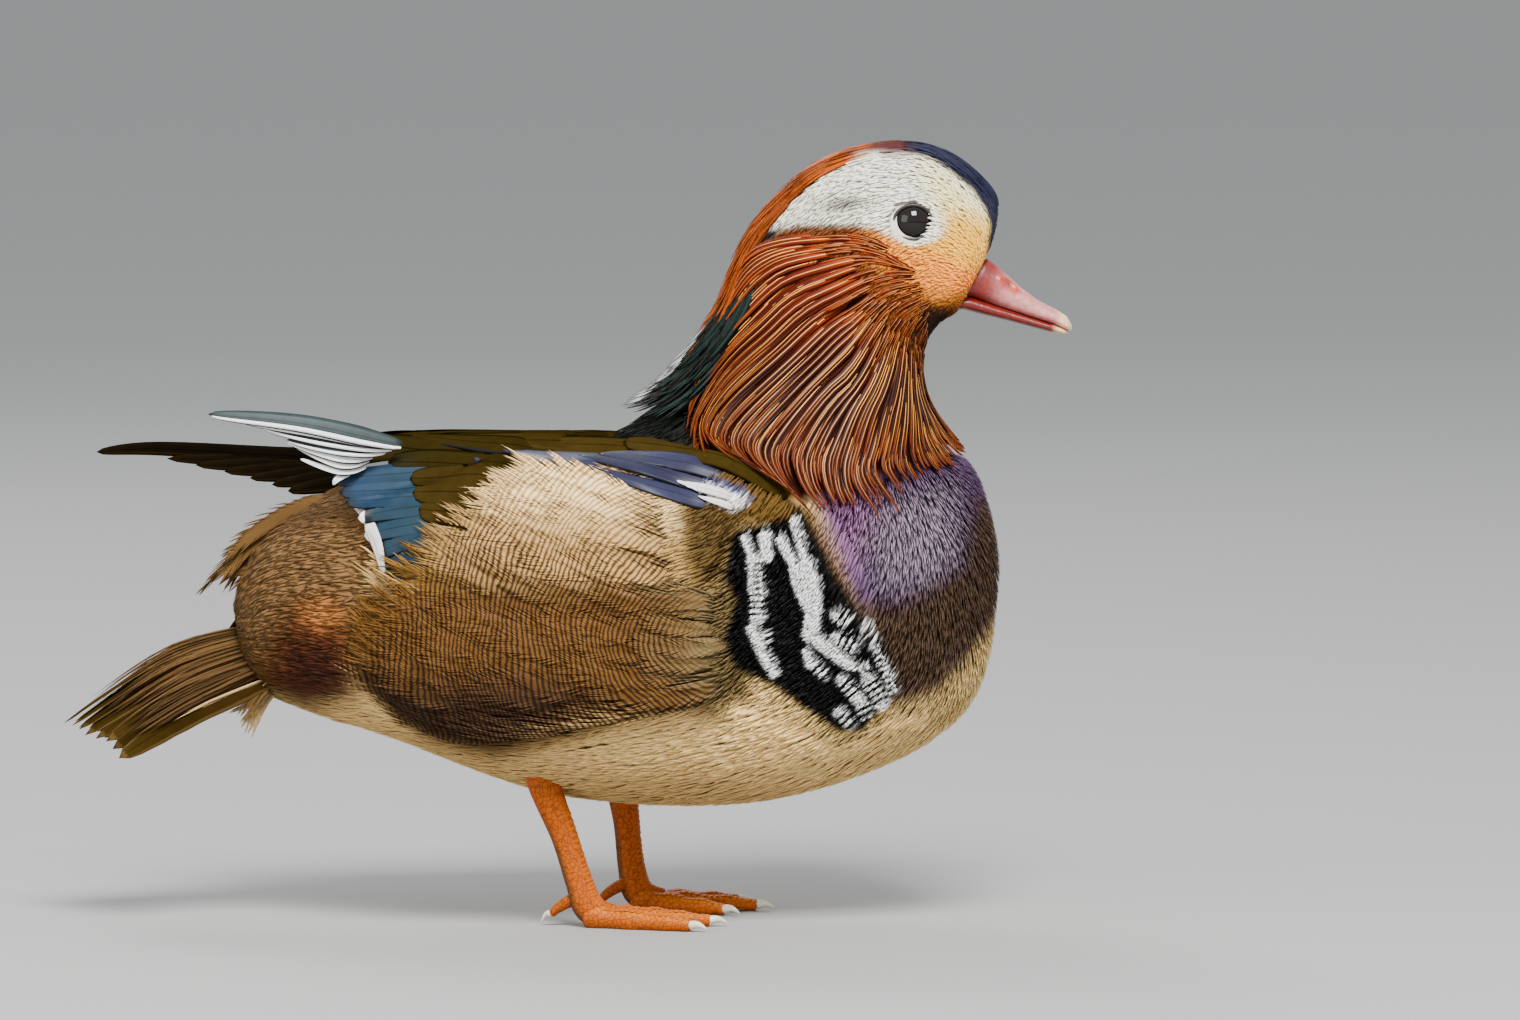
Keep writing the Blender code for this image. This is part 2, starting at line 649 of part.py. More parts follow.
def make_crest():
    """The crest: long locks from the crown down the nape, over a thin core, that end on the shoulders."""
    chance = random.Random(5)
    shares = [i / 8 * 0.86 for i in range(9)]
    left = [crest_spot(s, along_values(CREST_HALF_WIDTHS, s)) for s in shares]
    right = [crest_spot(s, -along_values(CREST_HALF_WIDTHS, s)) for s in shares]
    core = pad(Skin(), left, right, CREST_HEIGHT, "copper", steps=12, sunk=4.0)
    skin = Skin([core])
    pieces = [core]
    for k in range(CREST_LOCKS):
        start = 0.02 + 0.60 * k / (CREST_LOCKS - 1)
        finish = min(1.0, start + 0.36 + chance.uniform(-0.03, 0.03))
        offset = (0.0, 0.64, -0.64)[k % 3] * along_values(CREST_HALF_WIDTHS, start)
        guide = [crest_spot(start + (finish - start) * i / 4, offset * (1 - 0.08 * i)) for i in range(5)]
        rise = 2.4 + 5.0 * start
        lifts = (-2.0, 0.9, 1.0 + 0.3 * rise, 1.0 + 0.6 * rise, rise)
        pieces.append(laid_feather(skin, guide, lifts, CREST_LOCK_HALF, "copper", lock_width, steps=4))
    finish_node("crest", pieces, [head_cutter(), torso_cutter(), neck_core(PART_GAP)], "MANIFOLD")


def mirrored(rows, side):
    return [Vector((p[0], p[1] * side, p[2])) for p in rows]


def between(row, s):
    """The place between a pair of points."""
    return Vector(row[0]).lerp(Vector(row[1]), s)


def feather_row(skin, side, count, roots, tips, half_width, lifts, material, grow=0.0):
    """Overlapping vanes whose roots and tips run from one place to another."""
    pieces = []
    for k in range(count):
        s = k / (count - 1)
        root, tip = between(roots, s), between(tips, s)
        guide = mirrored((root, root.lerp(tip, 0.33), root.lerp(tip, 0.67), tip), side)
        roll = -WING_ROLL * side
        pieces.append(laid_feather(skin, guide, lifts, half_width, material, roll=roll, grow=grow))
    return pieces


def wing_pieces(side, grow=0.0):
    """A folded wing: its arm under the coverts, scapulars, tertials, secondaries and primaries."""
    paint_name = "olive_wing"
    edges = mirrored(WING_UPPER, side), mirrored(WING_LOWER, side)
    arm = pad(Skin(), *edges, WING_HEIGHT, paint_name)
    skin = Skin([arm])
    if grow:
        bpy.data.objects.remove(arm)
        arm = pad(Skin(), *edges, WING_HEIGHT, paint_name, grow=grow)
    pieces = [arm]
    for count, roots, tips, half_width, lift in WING_ROWS:
        lifts = (FEATHER_ROOT, lift, lift + 0.2, lift)
        pieces += feather_row(skin, side, count, roots, tips, half_width, lifts, paint_name, grow)
    upper, lower = PRIMARY_PATHS[side]
    face = mirrored([PRIMARY_FACES[side]], side)[0]
    for k in range(PRIMARIES):
        path = mirrored([between(pair, k / (PRIMARIES - 1)) for pair in zip(upper, lower)], side)
        place, normal = skin.place(path[0])
        path[0] = place - normal * PRIMARY_SUNK
        pieces.append(free_feather(path, face, PRIMARY_HALF_WIDTH, paint_name, -WING_ROLL * side, grow))
    return pieces


def head_cutter():
    """A copy of the head that is a little larger all round."""
    return body_part("cut", 0.0, HEAD_END + STATION_GAP, "copper", grow=PART_GAP)


def torso_cutter():
    """A copy of the torso that is a little larger all round."""
    return body_part("cut", NECK_END - STATION_GAP, BODY_END + STATION_GAP, "copper", grow=PART_GAP)


def make_wings():
    for side, word in SIDES:
        finish_node("wing_" + word, wing_pieces(side), [torso_cutter()], "MANIFOLD")


def make_flanks():
    """The flanks: fluffed feathers that fan up over the folded wing and back over the rump."""
    for side, word in SIDES:
        wing = bpy.data.objects["wing_" + word]
        edges = mirrored(FLANK_UPPER, side), mirrored(FLANK_LOWER, side)
        core = pad(Skin([wing]), *edges, FLANK_HEIGHT, "gold_flank")
        skin = Skin([core, wing])
        pieces = [core]
        for tier, (count, reach, start, half_width) in enumerate(FLANK_TIERS):
            for k in range(count):
                s = (k + 0.5 * tier) / (count - 1 + tier)
                end = along(FLANK_TIPS, s)
                tip, root = Vector((end.x, FLANK_ROOT[1] - FLANK_SUNK, end.y)), Vector(FLANK_ROOT)
                guide = mirrored([root.lerp(tip, start + (reach - start) * i / 3) for i in range(4)], side)
                lifts = (FLANK_ROOT_LIFT, *(lift + FLANK_TIER_RISE * tier for lift in FLANK_LIFTS))
                roll = -WING_ROLL * side
                pieces.append(laid_feather(skin, guide, lifts, half_width, "gold_flank", roll=roll))
        cutters = [*wing_pieces(side, PART_GAP), torso_cutter(), *rump_locks(PART_GAP)]
        finish_node("flank_" + word, pieces, cutters, "MANIFOLD")


def rump_locks(grow=0.0):
    """Long loose feathers over the root of the tail."""
    skin, locks = Skin(), []
    for side in (RIGHT, LEFT):
        for guide in RUMP_LOCKS:
            path = mirrored(guide, side)
            lock = laid_feather(skin, path, RUMP_LIFTS, RUMP_HALF_WIDTH, "brown_tail", grow=grow, loose=True)
            locks.append(lock)
    return locks


def make_torso():
    """The breast, back, belly and rump."""
    pieces = [body_part("torso", NECK_END, BODY_END, "plum_breast"), *rump_locks()]
    finish_node("torso", pieces, solver="MANIFOLD")


def make_tail():
    """The tail: a fan of twelve feathers, arched from side to side."""
    pieces = [swept(TAIL_CORE, TAIL_CORE_RADII, "brown_tail", sides=10, flat=0.5)]
    for k in range(TAIL_FEATHERS):
        spread = 2 * k / (TAIL_FEATHERS - 1) - 1
        side, share = (LEFT if spread > 0 else RIGHT), abs(spread)
        guide = mirrored([between(pair, share) for pair in zip(TAIL_MIDDLE, TAIL_OUTER)], side)
        face = (0.0, 0.5 * share * side, 1.0)
        pieces.append(free_feather(guide, face, TAIL_HALF_WIDTH, "brown_tail", roll=TAIL_ROLL))
    finish_node("tail", pieces, [torso_cutter(), *rump_locks(PART_GAP)], "MANIFOLD")


def block(low, high):
    rings = []
    for z in (low[2], high[2]):
        corners = ((low[0], low[1]), (high[0], low[1]), (high[0], high[1]), (low[0], high[1]))
        rings.append([Vector((x, y, z)) for x, y in corners])
    return make_object("block", *tube_mesh(rings), "copper")


def toe_path(ankle, yaw, length):
    """The middle line of a toe, from the ankle to the tip of its claw."""
    ahead = Vector((math.cos(yaw), math.sin(yaw), 0.0))
    last, start = len(TOE_HEIGHTS) - 1, Vector((ankle.x, ankle.y, 0.0))
    return [start + ahead * length * i / last + Vector((0.0, 0.0, z)) for i, z in enumerate(TOE_HEIGHTS)]


def web(ankle, first, second, lengths):
    """The skin between two toes, as a thin plate with a hollow front edge."""
    outline = [Vector((ankle.x - 2.0, ankle.y, 0.0))]
    for i in range(5):
        v = i / 4
        yaw = first + (second - first) * v
        hollow = 1 - WEB_HOLLOW * math.sin(math.pi * v)
        reach = (lengths[0] + (lengths[1] - lengths[0]) * v) * WEB_REACH * hollow
        outline.append(Vector((ankle.x + math.cos(yaw) * reach, ankle.y + math.sin(yaw) * reach, 0.0)))
    count = len(outline)
    points = [p + Vector((0, 0, z)) for z in (-0.5, WEB_THICKNESS) for p in outline]
    faces = []
    for i in range(1, count - 1):
        faces += [(0, i + 1, i), (count, count + i, count + i + 1)]
    for i in range(count):
        j = (i + 1) % count
        faces += [(i, j, count + i), (j, count + j, count + i)]
    return make_object("web", points, faces, "orange_leg")


def make_legs():
    """Each leg, and each foot with its toes, claws and webs. The soles are flat on the ground."""
    for side, word in SIDES:
        path = LEG_PATHS[side]
        ankle = Vector(path[-1])
        leg = swept(path, LEG_RADII, "orange_leg")
        finish_node("leg_" + word, [leg], [torso_cutter(), block((-60, -60, -5), (90, 60, LEG_SPLIT))])
        toes = [(math.radians(turn) * -side, length) for turn, length in TOES]
        pieces = [swept(path[-3:], LEG_RADII[-3:], "orange_leg")]
        for yaw, length in toes:
            pieces.append(swept(toe_path(ankle, yaw, length), TOE_RADII, "orange_leg", sides=5))
        for (first, one), (second, two) in zip(toes, toes[1:]):
            pieces.append(web(ankle, first, second, (one, two)))
        hallux = [Vector((ankle.x + x, ankle.y + 0.3 * x * side, z)) for x, z in HALLUX]
        pieces.append(swept(hallux, HALLUX_RADII, "orange_leg", sides=5))
        below = block((-60, -60, -20), (110, 60, 0))
        above = block((-60, -60, LEG_SPLIT - PART_GAP), (110, 60, 90))
        finish_node("foot_" + word, pieces, [below, above])


def main():
    clear_scene()
    make_head()
    make_bill()
    make_torso()
    make_wings()
    make_neck()
    make_crest()
    make_flanks()
    make_tail()
    make_legs()


if __name__ == "__main__":
    main()
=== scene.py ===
import math
import bpy
import numpy as np
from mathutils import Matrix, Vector
from mathutils.bvhtree import BVHTree


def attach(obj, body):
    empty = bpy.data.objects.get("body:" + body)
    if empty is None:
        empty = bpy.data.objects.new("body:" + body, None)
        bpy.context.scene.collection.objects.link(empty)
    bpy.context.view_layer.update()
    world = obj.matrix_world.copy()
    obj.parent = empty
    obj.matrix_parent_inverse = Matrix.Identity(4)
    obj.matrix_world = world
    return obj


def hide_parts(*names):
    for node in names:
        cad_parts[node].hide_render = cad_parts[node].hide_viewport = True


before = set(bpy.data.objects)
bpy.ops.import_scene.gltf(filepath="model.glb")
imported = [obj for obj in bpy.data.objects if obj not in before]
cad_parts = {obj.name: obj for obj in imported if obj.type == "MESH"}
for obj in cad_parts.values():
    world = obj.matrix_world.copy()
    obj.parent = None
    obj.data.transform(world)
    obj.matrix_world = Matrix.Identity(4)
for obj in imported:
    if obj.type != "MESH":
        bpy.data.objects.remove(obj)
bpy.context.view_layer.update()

# A drake mandarin duck on a plain pale floor. Numbers are millimetres in the model's own frame
# until a mesh is made. The bill points to +X and the right side faces -Y.
mm = 0.001
viewDrop = 0.07                      # a side marking is read on a plane that leans this much with y
rightSide, leftSide = -1.0, 1.0
chance = np.random.default_rng(11)
print("stage 1: frame loaded")


def unit(v):
    return v / np.maximum(np.linalg.norm(v, axis=-1, keepdims=True), 1e-9)


def smoothStep(low, high, x):
    f = np.clip((x - low) / (high - low), 0.0, 1.0)
    return f * f * (3.0 - 2.0 * f)


def curve(rows, t):                  # a smooth curve through rows, one unit of t apart
    rows = np.asarray(rows, float)
    last = len(rows) - 1
    t = np.clip(np.asarray(t, float), 0.0, last)
    i = np.minimum(t.astype(int), last - 1)
    f = (t - i)[..., None]
    a, b, c, d = (rows[np.clip(i + k, 0, last)] for k in (-1, 0, 1, 2))
    return b + 0.5 * f * (c - a + f * (2 * a - 5 * b + 4 * c - d + f * (3 * (b - c) + d - a)))


def edgeDistance(outline, x, z):     # distance from a closed outline, less than 0 inside it
    outline = np.asarray(outline, float)
    best = np.full(np.shape(x), 1e9)
    inside = np.zeros(np.shape(x), bool)
    for (ax, az), (bx, bz) in zip(outline, np.roll(outline, -1, axis=0)):
        ex, ez = bx - ax, bz - az
        f = np.clip(((x - ax) * ex + (z - az) * ez) / (ex * ex + ez * ez + 1e-9), 0, 1)
        best = np.minimum(best, np.hypot(x - ax - f * ex, z - az - f * ez))
        crosses = (az > z) != (bz > z)
        with np.errstate(divide="ignore", invalid="ignore"):
            inside ^= crosses & (x < (bx - ax) * (z - az) / (bz - az) + ax)
    return np.where(inside, -best, best)


def within(outline, x, z, soft):     # 1 well inside an outline, 0 well outside it
    return 1.0 - smoothStep(-soft, soft, edgeDistance(outline, x, z))


# Stations from the bill to the tail: upper line x and z, lower line x and z, and half the width
bodyRows = np.array([
    (131.0, 205.0, 123.0, 189.0, 7.5), (133.5, 225.0, 117.0, 186.0, 15.0), (112.0, 240.5, 112.8, 180.5, 18.6),
    (82.0, 235.5, 111.0, 172.0, 20.5), (60.0, 214.5, 112.8, 161.5, 22.5), (48.5, 187.0, 119.5, 149.5, 27.3),
    (30.5, 162.0, 130.0, 134.5, 37.0), (12.0, 150.0, 134.8, 104.0, 46.0), (-12.0, 149.0, 122.5, 62.5, 50.0),
    (-35.5, 146.5, 68.0, 38.3, 50.0), (-57.0, 140.0, 2.0, 38.6, 46.5), (-77.0, 130.0, -52.0, 56.5, 37.0),
    (-91.0, 121.0, -80.0, 66.0, 27.0), (-99.0, 108.0, -93.0, 72.0, 17.0), (-101.5, 98.0, -98.0, 80.0, 8.0),
])
bodyEnd = len(bodyRows) - 1
body = dict(
    roundness=0.92, widest=0.47,
    stations=420, around=288,
    wingRise=2.4, wingSoft=3.5, flankRise=5.2, flankSoft=6.0,
    # how deep the coat is at each station
    coat=(1.0, 1.1, 1.1, 1.6, 3.0, 3.4, 3.2, 2.6, 2.6, 2.6, 2.6, 2.6, 2.6, 2.4, 2.0),
)
wingOutline = ((-68, 146), (-44, 150), (-13, 150), (24, 147), (55, 139), (72, 126), (66, 109), (42, 103),
    (11, 99), (-26, 102), (-48, 106), (-66, 129))
flankOutline = ((43, 104), (37, 127), (27, 137), (9, 140), (-7, 139), (-24, 126), (-41, 112), (-51, 99),
    (-56, 82), (-50, 68), (-35, 59), (-7, 57), (24, 63), (49, 68), (57, 87), (52, 102))


def loft(t, angle):
    row = curve(bodyRows, t)
    upperX, upperZ, lowerX, lowerZ, half = (row[..., k] for k in range(5))
    up, side = np.sin(angle), np.cos(angle)
    up = np.sign(up) * np.abs(up) ** body["roundness"]
    side = np.sign(side) * np.abs(side) ** body["roundness"]
    share = body["widest"] + up * np.where(up > 0, 1 - body["widest"], body["widest"])
    return np.stack([lowerX + (upperX - lowerX) * share, side * half, lowerZ + (upperZ - lowerZ) * share], -1)


def surfaceNormals(points):          # outward, for a grid that closes round its second axis
    along = np.gradient(points, axis=0)
    across = np.roll(points, -1, axis=1) - np.roll(points, 1, axis=1)
    return unit(np.cross(across, along))


def sideView(points):
    return points[..., 0], points[..., 2] - viewDrop * np.abs(points[..., 1])


stationGrid = np.linspace(0, bodyEnd, body["stations"] + 1)
angleGrid = np.linspace(0, 2 * math.pi, body["around"], endpoint=False)
plain = loft(stationGrid[:, None], angleGrid[None, :])
plainNormals = surfaceNormals(plain)
if plainNormals[200, 72, 2] < 0:
    plainNormals = -plainNormals
gx, gz = sideView(plain)
onSide = smoothStep(0.25, 0.6, np.abs(plain[..., 1]) / 50.0)
rise = body["wingRise"] * within(wingOutline, gx, gz, body["wingSoft"])
rise = (rise + body["flankRise"] * within(flankOutline, gx, gz, body["flankSoft"])) * onSide
outer = plain + plainNormals * rise[..., None]          # where the feathers' outer faces lie
outerNormals = surfaceNormals(outer)
outerNormals *= np.sign(np.sum(outerNormals * plainNormals, -1, keepdims=True))
depthGrid = np.interp(stationGrid, np.arange(bodyEnd + 1), body["coat"])
skinGrid = outer - outerNormals * depthGrid[:, None, None]


def grid(field, t, angle):           # reads a grid between its points
    i = np.clip(np.asarray(t) / bodyEnd, 0, 0.99999) * body["stations"]
    j = (np.asarray(angle) / (2 * math.pi) % 1.0) * body["around"]
    i0, j0 = i.astype(int), j.astype(int) % body["around"]
    fi, fj = (i - i.astype(int))[..., None], (j - j.astype(int))[..., None]
    i1, j1 = i0 + 1, (j0 + 1) % body["around"]
    return ((field[i0, j0] * (1 - fi) + field[i1, j0] * fi) * (1 - fj)
            + (field[i0, j1] * (1 - fi) + field[i1, j1] * fi) * fj)


def scales(t, angle):                # millimetres for one unit of t and of angle
    step = 0.02
    alongT = np.linalg.norm(loft(t + step, angle) - loft(t - step, angle), axis=-1) / (2 * step)
    alongA = np.linalg.norm(loft(t, angle + step) - loft(t, angle - step), axis=-1) / (2 * step)
    return np.maximum(alongT, 4.0), np.maximum(alongA, 2.0)


def walk(t, angle, turn, length, steps, bend=0.0, aim=None):      # paths over the body, from t and angle
    ts, angles = [t], [angle]
    for k in range(steps):
        alongT, alongA = scales(ts[-1], angles[-1])
        heading = turn + bend * (k + 0.5) / steps
        if aim is not None:
            here = loft(ts[-1], angles[-1])
            goal = aim(here)
            eastward = unit(loft(ts[-1] + 0.02, angles[-1]) - here)
            upward = unit(loft(ts[-1], angles[-1] + 0.02) - here)
            heading = heading + np.arctan2(np.sum(goal * upward, -1), np.sum(goal * eastward, -1))
        ts.append(ts[-1] + np.cos(heading) * length / steps / alongT)
        angles.append(angles[-1] + np.sin(heading) * length / steps / alongA)
    return np.stack(ts, 1), np.stack(angles, 1)


def spread(spacing, first=0.0, last=bodyEnd, jitter=0.42):      # even places over the body
    ts, angles = [], []
    t, odd = first, 0.0
    while t < last:
        alongT, _ = scales(np.full(24, t), np.linspace(0, 2 * math.pi, 24, endpoint=False))
        ring = loft(np.full(180, t), np.linspace(0, 2 * math.pi, 180, endpoint=False))
        girth = np.linalg.norm(ring - np.roll(ring, 1, axis=0), axis=1)
        place = np.cumsum(girth)
        count = max(6, int(place[-1] / spacing))
        want = (np.arange(count) + odd + chance.uniform(-jitter, jitter, count)) / count * place[-1]
        angles.append(np.interp(want % place[-1], place, np.linspace(0, 2 * math.pi, 180)))
        step = spacing / np.mean(alongT)
        ts.append(t + chance.uniform(-jitter, jitter, count) * step)
        t, odd = t + step, 0.5 - odd
    return np.clip(np.concatenate(ts), 0.02, bodyEnd - 0.02), np.concatenate(angles)


coarse = outer[::3, ::2]
rows, cols = coarse.shape[:2]
coarseFaces = [
    (r * cols + c, (r + 1) * cols + c, (r + 1) * cols + (c + 1) % cols, r * cols + (c + 1) % cols)
    for r in range(rows - 1) for c in range(cols)
]
outerTree = BVHTree.FromPolygons([Vector(p) for p in coarse.reshape(-1, 3)], coarseFaces)


back = dict(
    line=((-84.0, 139.5), (-70.0, 146.0), (-62.0, 149.0), (-50.0, 150.2), (-35.0, 151.0), (10.0, 151.2),
        (26.0, 150.4), (42.0, 147.0)),
    drop=8.5, halfSpan=26.0, rows=19, across=7, length=24.0, halfWidth=5.2,
)


def backSpan(x):
    return back["halfSpan"] * (1 - 0.0042 * np.maximum(-36.0 - x, 0))


def backPlace(x, y):                 # the folded wings' upper side, over the back
    line = np.array(back["line"])
    out = np.abs(y) / backSpan(x)
    z = np.interp(x, line[:, 0], line[:, 1]) - back["drop"] * out ** 2.2
    slope = 2.2 * back["drop"] * out ** 1.2 / back["halfSpan"] * np.sign(y)
    return np.stack([x, y, z], -1), unit(np.stack([np.full(np.shape(x), -0.08), slope, np.ones(np.shape(x))], -1))


def dropOn(x, z):                    # the outer surface on the right side, seen at a place of the side view
    hit, normal, _, _ = outerTree.ray_cast(Vector((x, -200.0, z + 200.0 * viewDrop)), Vector((0, 1, -viewDrop)))
    depth = 0.0 if hit is None else -hit.y
    normal = np.array((0.0, -0.3, 1.0)) if hit is None else np.array(normal)
    if normal[2] * 0.9 - normal[1] < 0:
        normal = -normal
    # behind the shoulder the folded wing stands off the body, with its feathers facing out
    stands = smoothStep(34.0, -34.0, x) * smoothStep(100.0, 124.0, z)
    wing = stands * (35.0 - 0.42 * (z - 130.0)) * backSpan(x) / back["halfSpan"]
    facing = unit(np.array((-0.14, -1.0, 0.42)))
    # and over the back it closes in a dome
    top = np.interp(x, *np.transpose(back["line"]))
    under = top - z
    if under < back["drop"] + 1.5 and -84.0 < x < 42.0:
        dome = backSpan(x) * max(under, 0.0) ** 0.4545 / back["drop"] ** 0.4545
        share = smoothStep(back["drop"] + 1.5, back["drop"] - 3.0, under)
        wing = wing * (1 - share) + dome * share
        up = backPlace(np.array(x), np.array(-dome))[1]
        facing = unit(facing * (1 - share) + up * share)
    if wing > depth or under < 2.0:
        share = max(smoothStep(0.0, 4.0, wing - depth), smoothStep(2.0, 0.5, under))
        depth = depth * (1 - share) + wing * share
        normal = unit(normal * (1 - share) + facing * share)
    return np.array((x, -depth, min(z, top) + viewDrop * depth)), normal


print("stage 2: body surface")


# Several of these tints are painted light and shade. The belly's underside, the flank's lower edge, the breast's front
# and underside, and the bottom of the rust patch are painted shade. The rust patch's orange spot is a painted
# highlight, and the breast's blue-grey zone is a painted sheen.
tint = dict(
    cream=(0.915, 0.617, 0.240), bellyShade=(0.66, 0.42, 0.15), rumpBrown=(0.190, 0.098, 0.034), rumpPale=(0.105, 0.052, 0.012),
    rust=(0.095, 0.026, 0.007), rustHighlight=(0.42, 0.15, 0.035), rustShade=(0.042, 0.011, 0.004),
    gold=(0.130, 0.054, 0.005), flankShade=(0.052, 0.019, 0.002), pale=(0.871, 0.604, 0.266), straw=(0.175, 0.082, 0.008), fan=(0.40, 0.235, 0.075),
    greyOlive=(0.150, 0.100, 0.036), black=(0.003, 0.003, 0.003), white=(0.92, 0.92, 0.90),
    violet=(0.095, 0.045, 0.110), violetCore=(0.226, 0.099, 0.204), breastSheen=(0.273, 0.208, 0.265),
    breastShade=(0.074, 0.041, 0.023), olive=(0.031, 0.020, 0.003), shoulder=(0.105, 0.054, 0.009),
    wingBrown=(0.088, 0.050, 0.013), barBlue=(0.055, 0.062, 0.155), chestnut=(0.168, 0.040, 0.002),
    cheek=(0.930, 0.300, 0.030), lores=(0.930, 0.478, 0.035), stripe=(0.92, 0.90, 0.74), stripeWarm=(0.93, 0.84, 0.34),
    smudge=(0.10, 0.085, 0.06), crown=(0.014, 0.015, 0.036), crownBronze=(0.085, 0.016, 0.008),
    crest=(0.46, 0.085, 0.006), crestDark=(0.075, 0.012, 0.003), plume=(0.007, 0.008, 0.006),
    ruffGround=(0.030, 0.004, 0.001), throat=(0.028, 0.007, 0.002),
)
# Each marking: colour, softness of its edge, and its outline seen from the side
bodyMarkings = (
    # painted shade: the belly's underside is painted a darker tan
    ("bellyShade", 9, ((-82, 71), (-44, 61), (-1, 50), (42, 47), (73, 37), (-20, 28), (-82, 50))),
    ("rumpPale", 6, ((-113, 137), (-82, 152), (-60, 152), (-51, 112), (-38, 93), (-51, 81), (-72, 71),
        (-100, 68), (-119, 93))),
    ("rumpBrown", 6, ((-108, 140), (-68, 149), (-66, 127), (-55, 103), (-66, 93), (-82, 99), (-94, 84),
        (-110, 99))),
    ("rust", 8, ((-85, 96), (-72, 100), (-66, 88), (-66, 71), (-82, 68), (-93, 73), (-90, 87))),
    # painted shade: the rust patch is darker on its lower part
    ("rustShade", 7, ((-86, 87), (-76, 87), (-66, 82), (-67, 71), (-82, 68), (-89, 75))),
    # painted highlight: a brighter orange spot on the top of the rust patch
    ("rustHighlight", 5, ((-81, 98), (-73, 99), (-69, 94), (-75, 91), (-80, 93))),
    ("gold", 5, ((-51, 96), (-29, 104), (24, 107), (42, 104), (56, 103), (58, 87), (55, 71), (30, 65),
        (-1, 57), (-26, 53), (-44, 59), (-58, 71), (-60, 81))),
    # painted shade: the flank is darker along its lower edge, where the body turns under
    ("flankShade", 6, ((-51, 68), (-32, 70), (-7, 73), (11, 73), (24, 70), (11, 62), (-20, 52), (-41, 57))),
    ("straw", 5, ((-45, 104), (-38, 117), (-26, 129), (-13, 137), (-1, 112), (-13, 99), (-32, 99))),
    ("fan", 7, ((-29, 118), (-20, 130), (-6, 141), (11, 144), (28, 139), (38, 129), (42, 115), (44, 103),
        (24, 102), (-1, 103), (-20, 103))),
    ("pale", 9, ((-17, 130), (-6, 140), (11, 144), (27, 139), (35, 130), (37, 122), (24, 120), (8, 122),
        (-6, 121))),
    ("greyOlive", 6, ((37, 102), (44, 106), (53, 107), (58, 99), (58, 87), (55, 70), (42, 66), (35, 81))),
    ("olive", 3, ((-71, 140), (-69, 162), (-20, 162), (24, 162), (44, 149), (56, 140), (24, 137),
        (-1, 139), (-20, 124), (-41, 117), (-51, 112), (-66, 130))),
    ("shoulder", 4, ((39, 149), (62, 140), (78, 126), (89, 104), (94, 87), (87, 87), (73, 118), (55, 121),
        (49, 106), (39, 104), (36, 124))),
    ("wingBrown", 3, ((37, 128), (56, 127), (50, 117), (49, 107), (42, 106), (39, 112))),
    ("violet", 3, ((72, 149), (78, 130), (83, 117), (89, 99), (98, 81), (102, 68), (115, 73), (124, 82),
        (131, 91), (136, 99), (145, 112), (145, 137), (131, 155), (117, 168), (95, 162))),
    ("violetCore", 7, ((80, 130), (98, 140), (102, 121), (89, 109), (83, 117))),
    # painted sheen: a blue-grey sheen over the middle of the breast
    ("breastSheen", 9, ((100, 130), (121, 134), (124, 113), (114, 101), (98, 103), (94, 117))),
    # painted shade: the breast is darker at its front and underside
    ("breastShade", 5, ((88, 99), (104, 98), (123, 109), (128, 130), (145, 130), (142, 99), (131, 87),
        (117, 71), (103, 67), (97, 78))),
    ("black", 1.2, ((51, 116), (53, 121), (61, 122), (69, 124), (73, 128), (78, 118), (84, 106), (91, 95),
        (99, 84), (103, 71), (98, 66), (92, 59), (84, 59), (73, 66), (64, 73), (53, 78), (49, 87),
        (53, 99), (49, 106))),
)
# Each white bar: half its width, 1 for a ladder of rungs or 0 for solid white, and its route seen from the side
whiteBars = (
    (1.2, 0, ((56, 119), (58, 113))), (1.9, 0, ((62, 119), (63, 113))), (2.4, 1, ((59, 112), (60, 103),
        (60, 94))),
    (0.9, 0, ((58, 112), (58, 103))), (1.6, 0, ((67, 118), (71, 111), (72, 105), (75, 98))),
        (1.3, 0, ((71, 124), (73, 117), (75, 109))),
    (2.4, 0, ((75, 110), (77, 102), (77, 96), (76, 89))), (1.9, 0, ((76, 89), (81, 85), (85, 82), (88, 80))),
    (1.3, 1, ((88, 80), (91, 78), (94, 79))), (1.5, 0, ((58, 91), (61, 84), (65, 77))),
        (1.2, 1, ((62, 89), (63, 86))),
    (1.9, 1, ((84, 95), (88, 92))), (2.1, 1, ((84, 88), (90, 85))), (1.7, 1, ((93, 91), (97, 83), (102, 71))),
    (2.6, 1, ((94, 75), (98, 68))), (2.1, 1, ((86, 75), (91, 69), (94, 63))), (1.4, 0, ((75, 84), (76, 80))),
    (1.5, 1, ((77, 80), (81, 76))), (1.9, 1, ((85, 65), (89, 61))),
)
scapularMarkings = (
    ("barBlue", 0.8, ((-19, 148), (-1, 147), (1, 140), (-6, 141), (-13, 144))),
    ("barBlue", 0.8, ((5, 144), (18, 145), (36, 141), (56, 133), (58, 129), (42, 132), (28, 134),
        (24, 139), (11, 141))),
    ("barBlue", 0.5, ((-36, 140), (-31, 142), (-20, 144), (-22, 141), (-29, 140))),
    ("white", 0.6, ((35, 135), (44, 135), (55, 131), (57, 128), (53, 127), (47, 129), (39, 133))),
)
